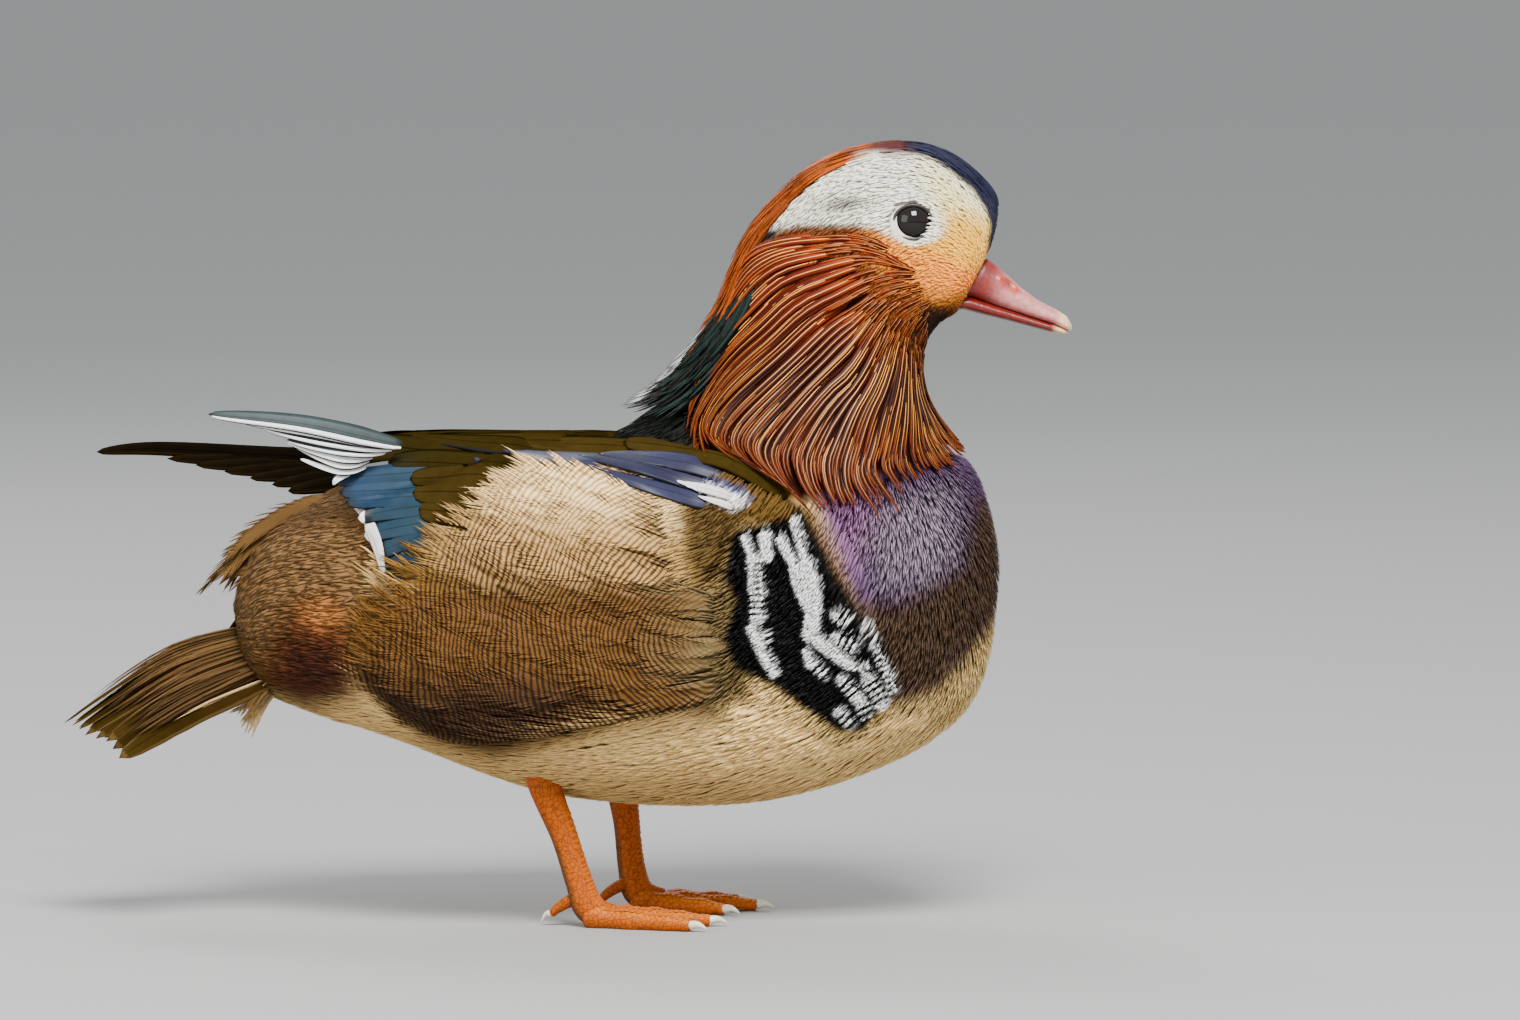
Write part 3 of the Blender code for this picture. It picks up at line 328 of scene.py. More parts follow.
headMarkings = (
    ("chestnut", 3, ((42, 208), (92, 221), (135, 204), (131, 190), (115, 179), (92, 168), (42, 183))),
    ("cheek", 6, ((94, 214), (123, 211), (135, 204), (128, 193), (114, 191), (103, 196), (96, 204))),
    ("lores", 5, ((112, 227), (135, 222), (135, 204), (125, 204), (114, 208), (106, 209))),
    ("throat", 3, ((112, 191), (120, 189), (118, 179), (107, 179), (106, 185))),
    ("stripe", 1.5, ((132, 216), (131, 221), (126, 227), (120, 232), (114, 236), (106, 238), (88, 239),
        (81, 236), (72, 230), (66, 222), (62, 217), (56, 211), (53, 208), (61, 212), (72, 215), (89, 215),
        (96, 214), (100, 212), (107, 209), (116, 211), (120, 216), (124, 219))),
    ("stripeWarm", 8, ((112, 234), (120, 230), (131, 219), (132, 208), (123, 213), (114, 222))),
    ("lores", 6, ((118, 220), (131, 217), (132, 204), (124, 204), (116, 208))),
    ("crown", 1.0, ((86, 249), (86, 239), (106, 238), (114, 236), (120, 232), (126, 227), (130, 221),
        (132, 216), (131, 206), (142, 204), (145, 249))),
    ("crownBronze", 4, ((86, 249), (86, 239), (96, 238), (106, 238), (104, 249))),
    ("crest", 1.0, ((94, 249), (94, 239), (88, 239), (81, 236), (72, 229), (66, 222), (62, 217),
        (56, 210), (54, 206), (51, 197), (42, 183), (24, 183), (24, 249))),
    ("crestDark", 1.2, ((81, 236), (72, 229), (66, 222), (62, 216), (57, 209), (55, 206), (53, 201),
        (55, 208), (58, 212), (62, 218), (66, 224), (73, 231))),
    ("plume", 1.2, ((54, 206), (63, 214), (67, 214), (62, 208), (56, 197), (49, 182), (44, 164),
        (40, 146), (8, 146), (8, 171), (36, 190), (49, 196))),
    ("ruffGround", 4, ((58, 206), (80, 208), (89, 196), (98, 182), (111, 174), (124, 149), (101, 140),
        (73, 130), (42, 145), (45, 164), (50, 182), (55, 196))),
)


def blend(colours, name, share):
    return colours * (1 - share[..., None]) + np.array(tint[name]) * share[..., None]


def barWhite(x, z, ladders):         # how white the breast's bars are at places of the side view
    white = np.zeros(x.shape)
    for half, rungs, route in whiteBars:
        line, before = np.array(route), 0.0
        for a, b in zip(line[:-1], line[1:]):
            long = float(np.hypot(*(b - a)))
            ahead = (b - a) / long
            s = np.clip((x - a[0]) * ahead[0] + (z - a[1]) * ahead[1], 0, long)
            off = np.hypot(x - a[0] - s * ahead[0], z - a[1] - s * ahead[1])
            share = 1 - smoothStep(half - 0.35, half + 0.25, off)
            if rungs and ladders:
                share = share * smoothStep(-0.35, 0.25, np.sin((before + s) * 2 * math.pi / 1.9))
            white = np.maximum(white, share)
            before += long
    return white


def plumage(points):
    x, z = sideView(points)
    y = np.abs(points[..., 1])
    colours = np.broadcast_to(np.array(tint["cream"]), x.shape + (3,)).copy()
    for name, soft, outline in bodyMarkings + scapularMarkings:
        colours = blend(colours, name, within(outline, x, z, soft))
    colours = blend(colours, "white", barWhite(x, z, True) * smoothStep(16.0, 22.0, y))
    face = smoothStep(125.0, 150.0, z + 0.55 * (x - 40.0))
    headColours = np.broadcast_to(np.array(tint["chestnut"]), x.shape + (3,)).copy()
    for name, soft, outline in headMarkings:
        headColours = blend(headColours, name, within(outline, x, z, soft))
    eyeX, eyeZ = 108.0, 216.2
    ring = 1.0 - smoothStep(7.2, 9.0, np.hypot((x - eyeX), (z - eyeZ) * 1.1))
    headColours = blend(headColours, "stripe", ring)
    smudge = np.exp(-((x - 86.0) / 7.5) ** 2 - ((z - 221.5 - 0.1 * (x - 86.0)) / 2.6) ** 2)
    headColours = blend(headColours, "smudge", np.clip(smudge * 0.85, 0, 1))
    isHead = headRegion(x, z)
    return headColours * isHead[..., None] + colours * (1 - isHead[..., None])


headOutline = ((11, 255), (154, 255), (154, 186), (120, 187), (114, 179), (119, 163), (124, 149),
    (104, 140), (73, 130), (42, 145), (24, 147), (8, 149))


def headRegion(x, z):
    return within(headOutline, x, z, 1.0)


print("stage 3: markings")


def meshPiece(name, points, quads, tris, material, colours=None, bakeMap=None, vaneMap=None, loopMap=None):
    mesh = bpy.data.meshes.new(name)
    quads = np.asarray(quads, np.int32).reshape(-1, 4)
    tris = np.asarray(tris, np.int32).reshape(-1, 3)
    corners = np.concatenate([quads.ravel(), tris.ravel()])
    mesh.vertices.add(len(points))
    mesh.vertices.foreach_set("co", (np.asarray(points, float) * mm).astype(np.float32).ravel())
    mesh.loops.add(len(corners))
    mesh.loops.foreach_set("vertex_index", corners)
    starts = np.concatenate([np.arange(len(quads)) * 4, len(quads) * 4 + np.arange(len(tris)) * 3])
    mesh.polygons.add(len(starts))
    mesh.polygons.foreach_set("loop_start", starts.astype(np.int32))
    mesh.update(calc_edges=True)
    mesh.validate()
    if colours is not None:
        layer = mesh.color_attributes.new("tint", "FLOAT_COLOR", "POINT")
        layer.data.foreach_set("color", np.column_stack([colours, np.ones(len(colours))]).astype(np.float32).ravel())
    for title, flat in (("OFBake", bakeMap), ("vane", vaneMap)):
        if flat is not None:
            mesh.uv_layers.new(name=title).data.foreach_set("uv", np.asarray(flat)[corners].astype(np.float32).ravel())
    if loopMap is not None:
        mesh.uv_layers.new(name="OFBake").data.foreach_set("uv", np.asarray(loopMap).astype(np.float32).ravel())
    mesh.shade_smooth()
    mesh.materials.append(material)
    thing = bpy.data.objects.new(name, mesh)
    bpy.context.scene.collection.objects.link(thing)
    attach(thing, "root")
    return thing


def ringFaces(count, rings, around):         # faces of many pieces, each with rings and then one tip point
    each = rings * around + 1
    k = np.arange(around)
    following = (k + 1) % around
    quads = [
        np.stack([r * around + k, r * around + following, (r + 1) * around + following, (r + 1) * around + k], 1)
        for r in range(rings - 1)
    ]
    quads = np.concatenate(quads) if quads else np.zeros((0, 4), int)
    top = (rings - 1) * around
    tris = [np.stack([top + k, top + following, np.full(around, rings * around)], 1)]
    tris.append(np.array([(0, i + 1, i) for i in range(1, around - 1)]))
    tris = np.concatenate(tris)
    offsets = (np.arange(count) * each)[:, None, None]
    return (quads[None] + offsets).reshape(-1, 4), (tris[None] + offsets).reshape(-1, 3)


def frames(paths, normals):                  # directions along and across, and up from, each path
    along = unit(np.gradient(paths, axis=1))
    across = unit(np.cross(along, normals))
    return along, across, unit(np.cross(across, along))


def patchMap(t, angle, across, along, size=0.003):       # each tuft's small patch on the skin's own unwrap
    root = np.stack([0.02 + 0.95 * t / bodyEnd, 0.02 + 0.95 * (angle / (2 * math.pi) % 1.0)], -1)
    return root[:, None, :] + size * np.stack([across, along], -1)


def atlasMap(count, across, along):          # one cell for each big feather
    side = int(math.ceil(math.sqrt(count)))
    k = np.arange(count)
    cell = np.stack([k % side, k // side], -1)[:, None, :]
    return (cell + 0.06 + 0.88 * np.stack([across, along], -1)) / side


def tuftPiece(name, t, angle, paths, normals, halfWidths, thick, colours, material):
    # narrow tufts with three sides, which end in a point
    count, places = paths.shape[:2]
    along, across, up = frames(paths, normals)
    rings = places - 1
    wide = across * halfWidths[..., None]
    ridge = up * (halfWidths * thick)[..., None]
    ring = np.stack([paths - wide, paths + ridge, paths + wide], 2)[:, :rings]
    points = np.concatenate([ring.reshape(count, -1, 3), paths[:, -1:]], 1)
    shades = np.concatenate([np.repeat(colours[:, :rings], 3, 1), colours[:, -1:]], 1)
    share = np.linspace(0, 1, places)
    acrossMap = np.concatenate([np.tile((0.0, 0.5, 1.0), rings), [0.5]])
    alongMap = np.concatenate([np.repeat(share[:rings], 3), [1.0]])
    bake = patchMap(t, angle, np.tile(acrossMap, (count, 1)), np.tile(alongMap, (count, 1)))
    vane = np.tile(np.stack([acrossMap, alongMap], -1), (count, 1))
    quads, tris = ringFaces(count, rings, 3)
    return meshPiece(name, points.reshape(-1, 3), quads, tris, material, shades.reshape(-1, 3),
                     bake.reshape(-1, 2), vane)


vaneSection = (-1.0, -0.55, 0.0, 0.55, 1.0)


def vaneShape(paths, normals, halfWidths, thick=0.5, camber=0.12, ragged=0.0):
    # flat feathers with a raised shaft, whose both faces are split alike
    count, places = paths.shape[:2]
    rings = places - 1
    along, across, up = frames(paths, normals)
    section = np.array(vaneSection)
    sides = halfWidths[:, :, None] * section
    if ragged:
        sides = sides * (1 + np.abs(section) * chance.uniform(-ragged, ragged, sides.shape))
    bow = halfWidths[:, :, None] * camber * (1 - section ** 2) + 0.25 * thick * (section == 0)
    top = paths[:, :, None] + across[:, :, None] * sides[..., None] + up[:, :, None] * bow[..., None]
    under = top[:, :, 3:0:-1] - up[:, :, None] * thick
    ring = np.concatenate([top, under], 2)[:, :rings]
    return np.concatenate([ring.reshape(count, -1, 3), paths[:, -1:]], 1), rings


def vanePiece(name, paths, normals, halfWidths, colours, material, bake=None, thick=0.5, camber=0.12, ragged=0.0,
              colourAt=None):
    points, rings = vaneShape(paths, normals, halfWidths, thick, camber, ragged)
    if colourAt is not None:
        shades = colourAt(points)
    else:
        shades = np.concatenate([np.repeat(colours[:, :rings], 8, 1), colours[:, -1:]], 1)
    return vaneMesh(name, points, rings, (0.0, 0.225, 0.5, 0.775, 1.0, 0.775, 0.5, 0.225), shades, material, bake)


def vaneMesh(name, points, rings, ringAcross, shades, material, bake=None, mirrored=False):
    if mirrored:                     # the same feathers again on the left side
        points = np.concatenate([points, points * (1, -1, 1)])
        shades = np.concatenate([shades, shades])
    count = len(points)
    share = np.linspace(0, 1, rings + 1)
    acrossMap = np.concatenate([np.tile(ringAcross, rings), [0.5]])
    alongMap = np.concatenate([np.repeat(share[:rings], len(ringAcross)), [1.0]])
    tiledAcross, tiledAlong = np.tile(acrossMap, (count, 1)), np.tile(alongMap, (count, 1))
    flat = atlasMap(count, tiledAcross, tiledAlong) if bake is None else patchMap(*bake, tiledAcross, tiledAlong, 0.006)
    vane = np.stack([tiledAcross, tiledAlong], -1)
    quads, tris = ringFaces(count, rings, len(ringAcross))
    if mirrored:
        quads[len(quads) // 2:] = quads[len(quads) // 2:, ::-1]
        tris[len(tris) // 2:] = tris[len(tris) // 2:, ::-1]
    return meshPiece(name, points.reshape(-1, 3), quads, tris, material, shades.reshape(-1, 3),
                     flat.reshape(-1, 2), vane.reshape(-1, 2))


def lancet(share, full=0.25, tip=1.6):       # width from root to tip of a pointed feather
    return np.where(share < full, 0.55 + 0.45 * share / full,
                    1 - (np.clip(share - full, 0, 1) / (1 - full)) ** tip)


def paddle(share, full=0.35, tip=3.5):       # width of a feather with a rounded tip
    rounding = 1 - (np.clip(share - full, 0, 1) / (1 - full)) ** tip
    return np.where(share < full, 0.45 + 0.55 * (share / full) ** 0.7, np.sqrt(np.maximum(rounding, 0.0)))


def newMaterial(name, roughness=0.5, **fixed):
    material = bpy.data.materials.new(name)
    material.use_nodes = True
    shader = material.node_tree.nodes["Principled BSDF"]
    shader.inputs["Roughness"].default_value = roughness
    for socket, value in fixed.items():
        shader.inputs[socket.replace("_", " ")].default_value = value
    return material, material.node_tree.nodes, material.node_tree.links, shader


def node(nodes, kind, **values):
    made = nodes.new("ShaderNode" + kind)
    for key, value in values.items():
        if hasattr(made, key):
            setattr(made, key, value)
        else:
            made.inputs[key.replace("_", " ")].default_value = value
    return made


def maths(nodes, links, operation, first, second=None, third=None):
    made = nodes.new("ShaderNodeMath")
    made.operation = operation
    for k, value in enumerate((first, second, third)):
        if value is None:
            continue
        if isinstance(value, (int, float)):
            made.inputs[k].default_value = value
        else:
            links.new(value, made.inputs[k])
    return made.outputs[0]


def ramp(nodes, links, value, stops):
    made = nodes.new("ShaderNodeValToRGB")
    line = made.color_ramp
    while len(line.elements) < len(stops):
        line.elements.new(0.5)
    for element, (place, shade) in zip(line.elements, stops):
        element.position = place
        element.color = (shade, shade, shade, 1) if isinstance(shade, float) else (*shade, 1)
    links.new(value, made.inputs[0])
    return made.outputs[0]


def mixed(nodes, links, mode, share, first, second):
    made = nodes.new("ShaderNodeMix")
    made.data_type = "RGBA"
    made.blend_type = mode
    for socket, value in ((0, share), (6, first), (7, second)):
        if isinstance(value, float):
            made.inputs[socket].default_value = value
        elif isinstance(value, tuple):
            made.inputs[socket].default_value = (*value, 1)
        else:
            links.new(value, made.inputs[socket])
    return made.outputs[2]


def featherMaterial(name, roughness=0.6, streaks=0.35, streakScale=900.0, sheen=0.25, barbs=0.0, barbCount=26.0,
                    coat=0.0, specular=0.10):
    # the tint on each point, with fine streaks, and with barbs on a large vane
    material, nodes, links, shader = newMaterial(
        name, roughness, Sheen_Weight=sheen, Sheen_Roughness=0.5, Coat_Weight=coat, Coat_Roughness=0.25)
    shader.inputs["Specular IOR Level"].default_value = specular
    colour = node(nodes, "Attribute", attribute_name="tint").outputs["Color"]
    place = node(nodes, "TexCoord").outputs["Object"]
    noise = node(nodes, "TexNoise", Scale=streakScale, Detail=2.0, Roughness=0.6)
    links.new(place, noise.inputs["Vector"])
    shade = ramp(nodes, links, noise.outputs["Fac"], ((0.3, 1.0 - streaks), (0.7, 1.0)))
    colour = mixed(nodes, links, "MULTIPLY", 1.0, colour, shade)
    if barbs:
        flat = nodes.new("ShaderNodeUVMap")
        flat.uv_map = "vane"
        split = nodes.new("ShaderNodeSeparateXYZ")
        links.new(flat.outputs[0], split.inputs[0])
        off = maths(nodes, links, "ABSOLUTE", maths(nodes, links, "SUBTRACT", split.outputs[0], 0.5))
        slant = maths(nodes, links, "SUBTRACT", split.outputs[1], maths(nodes, links, "MULTIPLY", off, 0.45))
        wave = maths(nodes, links, "SINE", maths(nodes, links, "MULTIPLY", slant, barbCount * 2 * math.pi))
        line = ramp(nodes, links, wave, ((0.0, 1.0), (0.75, 1.0), (1.0, 1.0 - barbs)))
        colour = mixed(nodes, links, "MULTIPLY", 1.0, colour, line)
        shaft = ramp(nodes, links, off, ((0.012, 1.0 - barbs), (0.035, 1.0)))
        colour = mixed(nodes, links, "MULTIPLY", 1.0, colour, shaft)
        edge = ramp(nodes, links, off, ((0.40, 1.0), (0.5, 1.0 - 0.8 * barbs)))
        colour = mixed(nodes, links, "MULTIPLY", 1.0, colour, edge)
    links.new(colour, shader.inputs["Base Color"])
    return material


def barredMaterial(name, roughness=0.62, period=1.55):
    # fine wavy dark bars, in rings round the root of the flank's fan, as strong as the attribute "bars" says
    material, nodes, links, shader = newMaterial(name, roughness)
    shader.inputs["Specular IOR Level"].default_value = 0.2
    tintNode = node(nodes, "Attribute", attribute_name="tint")
    bars = node(nodes, "Attribute", attribute_name="bars")
    place = node(nodes, "TexCoord").outputs["Object"]
    centre = node(nodes, "Mapping", vector_type="POINT")
    centre.inputs["Location"].default_value = (-0.046, 0.0, -0.092)
    links.new(place, centre.inputs["Vector"])
    flatten = nodes.new("ShaderNodeSeparateXYZ")
    links.new(centre.outputs[0], flatten.inputs[0])
    across = maths(nodes, links, "POWER", flatten.outputs[0], 2.0)
    upward = maths(nodes, links, "POWER", flatten.outputs[2], 2.0)
    reach = maths(nodes, links, "SQRT", maths(nodes, links, "ADD", across, upward))
    broad = node(nodes, "TexNoise", Scale=38.0, Detail=1.0)
    fine = node(nodes, "TexNoise", Scale=330.0, Detail=1.0)
    for made in (broad, fine):
        links.new(place, made.inputs["Vector"])
    warp = maths(nodes, links, "MULTIPLY", maths(nodes, links, "SUBTRACT", broad.outputs["Fac"], 0.5), 0.009)
    wobble = maths(nodes, links, "MULTIPLY", maths(nodes, links, "SUBTRACT", fine.outputs["Fac"], 0.5), 0.0012)
    reach = maths(nodes, links, "ADD", maths(nodes, links, "ADD", reach, warp), wobble)
    wave = maths(nodes, links, "SINE", maths(nodes, links, "MULTIPLY", reach, 2 * math.pi / (period * mm)))
    line = ramp(nodes, links, maths(nodes, links, "MULTIPLY_ADD", wave, 0.5, 0.5), ((0.30, 1.0), (0.80, 0.0)))
    strength = maths(nodes, links, "MULTIPLY", maths(nodes, links, "SUBTRACT", 1.0, line), bars.outputs["Fac"])
    dark = mixed(nodes, links, "MULTIPLY", 1.0, tintNode.outputs["Color"], (0.17, 0.11, 0.07))
    colour = mixed(nodes, links, "MIX", strength, tintNode.outputs["Color"], dark)
    links.new(colour, shader.inputs["Base Color"])
    return material


def setBars(thing, values):
    layer = thing.data.attributes.new("bars", "FLOAT", "POINT")
    layer.data.foreach_set("value", np.asarray(values, np.float32).ravel())


def makeSkin():
    points = skinGrid[::2, ::2]
    count, around = points.shape[:2]
    r, c = np.meshgrid(np.arange(count - 1), np.arange(around), indexing="ij")
    after = (c + 1) % around
    quads = np.stack([r * around + c, (r + 1) * around + c, (r + 1) * around + after, r * around + after], -1)
    acrossU = np.stack([r, r + 1, r + 1, r], -1) / (count - 1)
    aroundV = np.stack([c, c, c + 1, c + 1], -1) / around
    loops = 0.02 + 0.95 * np.stack([acrossU, aroundV], -1).reshape(-1, 2)
    flat = points.reshape(-1, 3)
    front, rear = len(flat), len(flat) + 1
    allPoints = np.vstack([flat, points[0].mean(0), points[-1].mean(0)])
    k = np.arange(around)
    last = (count - 1) * around
    tris = np.concatenate([
        np.stack([k, (k + 1) % around, np.full(around, front)], 1),
        np.stack([last + (k + 1) % around, last + k, np.full(around, rear)], 1),
    ])
    caps = np.tile(np.array([(0.01, 0.3), (0.01, 0.31), (0.005, 0.305)]), (around, 1))
    loops = np.concatenate([loops, caps, caps + (0.975, 0.0)])
    # painted shade: the skin takes the plumage colours a little darker, for the shade between the tufts above it
    shades = plumage(allPoints) * 0.85
    skin = meshPiece("skin", allPoints, quads.reshape(-1, 4), tris, materials["skin"], shades, loopMap=loops)
    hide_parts("head", "neck", "torso")
    return skin


def coatPatch(name, wanted, spacing, length, halfWidth, material, rise=(0.0, 0.0), turn=0.0, turnSpread=0.16,
              places=4, tipLight=1.0, rootShade=0.7, span=(0.0, bodyEnd), vary=0.10, thick=0.55, bars=None, bend=0.0,
              sink=None, aim=None, oneColour=False):
    t, angle = spread(spacing, *span)
    points = grid(outer, t, angle)
    keep = wanted(points, t, angle)
    t, angle, points = t[keep], angle[keep], points[keep]
    count = len(t)
    x, z = sideView(points)
    long = (length(x, z) if callable(length) else length) * chance.uniform(0.8, 1.2, count)
    heading = turn * np.where(np.cos(angle) < 0, -1.0, 1.0) + chance.normal(0, turnSpread, count)
    ts, angles = walk(t, angle, heading, long, places - 1, bend, aim)
    share = np.linspace(0, 1, places)
    depth = np.interp(t, np.arange(bodyEnd + 1), body["coat"]) if sink is None else np.full(count, sink)
    lift = -depth[:, None] * (1 - share) ** 1.3 * 0.95 + (rise[0] + (rise[1] - rise[0]) * share)
    lift = lift + chance.uniform(-0.25, 0.25, count)[:, None] * share
    normals = unit(grid(outerNormals, ts, angles))
    paths = grid(outer, ts, angles) + normals * lift[..., None]
    widths = halfWidth * lancet(share, 0.3, 1.8) * chance.uniform(0.75, 1.25, count)[:, None]
    ahead = paths + (paths[:, -1:] - paths[:, :1]) * 0.12
    if oneColour:
        ahead = np.repeat(points[:, None], places, 1)
    shades = plumage(ahead) * (1 + chance.normal(0, vary, count))[:, None, None]
    # painted shade and light: each tuft is darker towards its root, where it lies under the tufts in front, and lighter
    # towards its tip
    shades = shades * (rootShade + (tipLight - rootShade) * share)[None, :, None]
    thing = tuftPiece(name, t, angle, paths, normals, widths, thick, np.clip(shades, 0.001, 1), material)
    if bars is not None:
        values = bars(*sideView(points))
        setBars(thing, np.repeat(values, (places - 1) * 3 + 1))
    print("   ", name, count, "tufts")
    return thing


materials = {}
materials["skin"] = featherMaterial("featherGround", 0.8, 0.25, 700.0, 0.0)
materials["face"] = featherMaterial("shortFeathers", 0.70, 0.16, 1500.0, 0.04)
materials["breast"] = featherMaterial("glossyFeathers", 0.45, 0.35, 1100.0, 0.0, coat=0.03)
materials["down"] = featherMaterial("softFeathers", 0.80, 0.16, 900.0, 0.0)
materials["crest"] = featherMaterial("silkyPlumes", 0.42, 0.40, 1300.0, 0.0, coat=0.03)
materials["vane"] = featherMaterial("wingVanes", 0.50, 0.18, 700.0, 0.02, barbs=0.35, barbCount=34.0)
materials["mantle"] = featherMaterial("mantleVanes", 0.7, 0.22, 900.0, 0.0, barbs=0.20, barbCount=16.0, specular=0.0)
materials["flank"] = barredMaterial("barredFeathers")
makeSkin()
print("stage 4: skin")


flank = dict(
    centre=(50.0, 94.0), spacing=6.6, length=25.0, halfWidth=6.4, barbs=24, fringeSpacing=1.5, fringeLength=15.0,
)


def fanOut(points):                  # away from the root of the flank's fan
    x, z = sideView(points)
    away = np.stack([x - flank["centre"][0] - 8.0, np.zeros_like(x), (z - flank["centre"][1])], -1)
    away[..., 0] -= 5.0 * smoothStep(4.0, -22.0, z - flank["centre"][1])
    return unit(away)


def ruffShare(x, z):
    return within(ruffOutline, x, z, 1.5)


ruffOutline = ((58, 206), (73, 211), (93, 213), (102, 196), (108, 186), (114, 179), (119, 162),
    (124, 147), (101, 137), (73, 129), (55, 137), (42, 144), (44, 163), (49, 182), (55, 196))
plumeOutline = ((54, 206), (63, 214), (58, 204), (49, 182), (44, 164), (40, 146), (8, 146), (8, 171),
    (36, 190), (49, 196))
flankArea = ((43, 103), (39, 117), (35, 129), (26, 138), (11, 142), (-6, 140), (-20, 128), (-34, 114),
    (-43, 99), (-56, 82), (-57, 71), (-44, 59), (-26, 53), (-1, 57), (30, 64), (55, 71), (58, 87), (56, 103))


def makeHeadCoat():
    def onFace(points, t, angle):
        x, z = sideView(points)
        away = np.hypot((x - 108.0) * 0.95, z - 216.4)
        return (t < 4.6) & (edgeDistance(ruffOutline, x, z) > -5.0) & (away > 6.6) & (t > 0.06)

    face = coatPatch("faceFeathers", onFace, 0.80, lambda x, z: 3.2 + 3.4 * smoothStep(118.0, 60.0, x), 0.50,
                     materials["face"], rise=(0.05, 0.12), turnSpread=0.12, places=4,
                     rootShade=0.97, tipLight=1.02, vary=0.04, span=(0.0, 4.7), thick=0.25, sink=0.6)
    return face


def makeBodyCoat():
    def flankOff(x, z):
        return within(flankArea, x, z, 2.0) < 0.5

    def onBreast(points, t, angle):
        x, z = sideView(points)
        breastSide = (within(breastOutline, x, z, 1.0) > 0.5) | (edgeDistance(blackArea, x, z) < 1.0)
        return (t > 4.0) & breastSide & (ruffShare(x, z) < 0.9)

    def onBars(points, t, angle):
        x, z = sideView(points)
        return (barWhite(x, z, False) > 0.3) & (np.abs(points[..., 1]) > 17.0)

    def onBelly(points, t, angle):
        x, z = sideView(points)
        low = (within(breastOutline, x, z, 1.0) < 0.5) & (within(upperOutline, x, z, 1.0) < 0.5)
        return (t > 6.0) & low & flankOff(x, z) & (x > -62.0)

    def onRump(points, t, angle):
        x, z = sideView(points)
        onTop = np.abs(angle - math.pi / 2) < 0.85
        return (t > 8.5) & (x <= -50.0) & flankOff(x, z) & (onTop | (within(wingArea, x, z, 1.0) < 0.5) & (x <= -58.0))

    coatPatch("breastFeathers", onBreast, 1.18, 6.0, 0.46, materials["breast"], rise=(0.1, 0.3),
              turnSpread=0.10, places=4, rootShade=0.80, tipLight=1.08, vary=0.13, thick=0.4)
    coatPatch("barFeathers", onBars, 0.72, 2.3, 0.36, materials["down"], rise=(0.45, 0.55),
              turnSpread=0.10, places=3, rootShade=0.95, tipLight=1.0, vary=0.04, sink=0.6, span=(5.5, 9.0))
    coatPatch("bellyFeathers", onBelly, 1.38, 8.5, 0.80, materials["down"], rise=(0.1, 0.3),
              turnSpread=0.15, places=4, rootShade=0.98, tipLight=1.02, vary=0.04, thick=0.22, sink=1.3)
    coatPatch("rumpFeathers", onRump, 1.45, 13.0, 0.80, materials["down"], rise=(0.3, 0.9),
              turnSpread=0.16, places=5, rootShade=0.97, tipLight=1.03, vary=0.06, thick=0.2, sink=1.4)


breastOutline = ((39, 168), (42, 124), (48, 112), (51, 99), (48, 84), (55, 71), (73, 62), (89, 54),
    (103, 64), (115, 67), (123, 56), (166, 87), (166, 168), (123, 193))
blackArea = ((51, 116), (53, 121), (61, 122), (69, 124), (73, 128), (78, 118), (84, 106), (91, 95),
    (99, 84), (103, 71), (98, 66), (92, 59), (84, 59), (73, 66), (64, 73), (53, 78), (49, 87), (53, 99),
    (49, 106))
shoulderArea = ((27, 140), (42, 149), (64, 141), (84, 127), (96, 104), (98, 84), (93, 94), (85, 104),
    (78, 118), (73, 130), (51, 121), (42, 99), (37, 103), (35, 130))
speculumArea = ((-72, 141), (-38, 142), (-38, 110), (-48, 103), (-57, 112), (-66, 129))
upperOutline = ((-36, 154), (-20, 155), (24, 154), (45, 149), (64, 141), (83, 127), (85, 118), (73, 121),
    (51, 117), (48, 103), (24, 99), (-1, 99), (-36, 102))
wingArea = ((-71, 137), (-68, 154), (24, 154), (45, 149), (64, 141), (83, 127), (73, 123), (51, 117),
    (48, 103), (24, 96), (-44, 99), (-51, 104), (-66, 129))


def contourVanes(name, wanted, spacing, length, halfWidth, material, lift=0.8, places=8, turn=0.0,
                 turnSpread=0.1, span=(0.0, bodyEnd), vary=0.08, aim=None, colourAt=plumage, below=()):
    t, angle = spread(spacing, *span)
    points = grid(outer, t, angle)
    keep = wanted(points, t, angle)
    t, angle = t[keep], angle[keep]
    count = len(t)
    long = length * chance.uniform(0.88, 1.15, count)
    heading = turn * np.where(np.cos(angle) < 0, -1.0, 1.0) + chance.normal(0, turnSpread, count)
    ts, angles = walk(t, angle, heading, long, places - 1, aim=aim)
    share = np.linspace(0, 1, places)
    lifts = (-1.6 + (1.6 + lift) * smoothStep(0.0, 0.5, share))[None] + chance.uniform(-0.2, 0.2, count)[:, None]
    normals = unit(grid(outerNormals, ts, angles))
    paths = grid(outer, ts, angles)
    clear = np.ones(count, bool)
    for outline in below:
        clear &= edgeDistance(outline, *sideView(paths)).min(axis=1) > -2.5
    t, angle, lifts, normals, paths = (values[clear] for values in (t, angle, lifts, normals, paths))
    count = len(t)
    paths = paths + normals * lifts[..., None]
    widths = halfWidth * paddle(share, 0.4, 2.4) * chance.uniform(0.9, 1.1, count)[:, None]
    tone = 1 + chance.normal(0, vary, count)

    def shade(vanePoints):
        return np.clip(colourAt(vanePoints) * tone[:, None, None], 0.001, 1)

    thing = vanePiece(name, paths, normals, widths, None, material, bake=(t, angle), thick=0.14, camber=0.04,
                      ragged=0.03, colourAt=shade)
    print("   ", name, count, "feathers")
    return thing


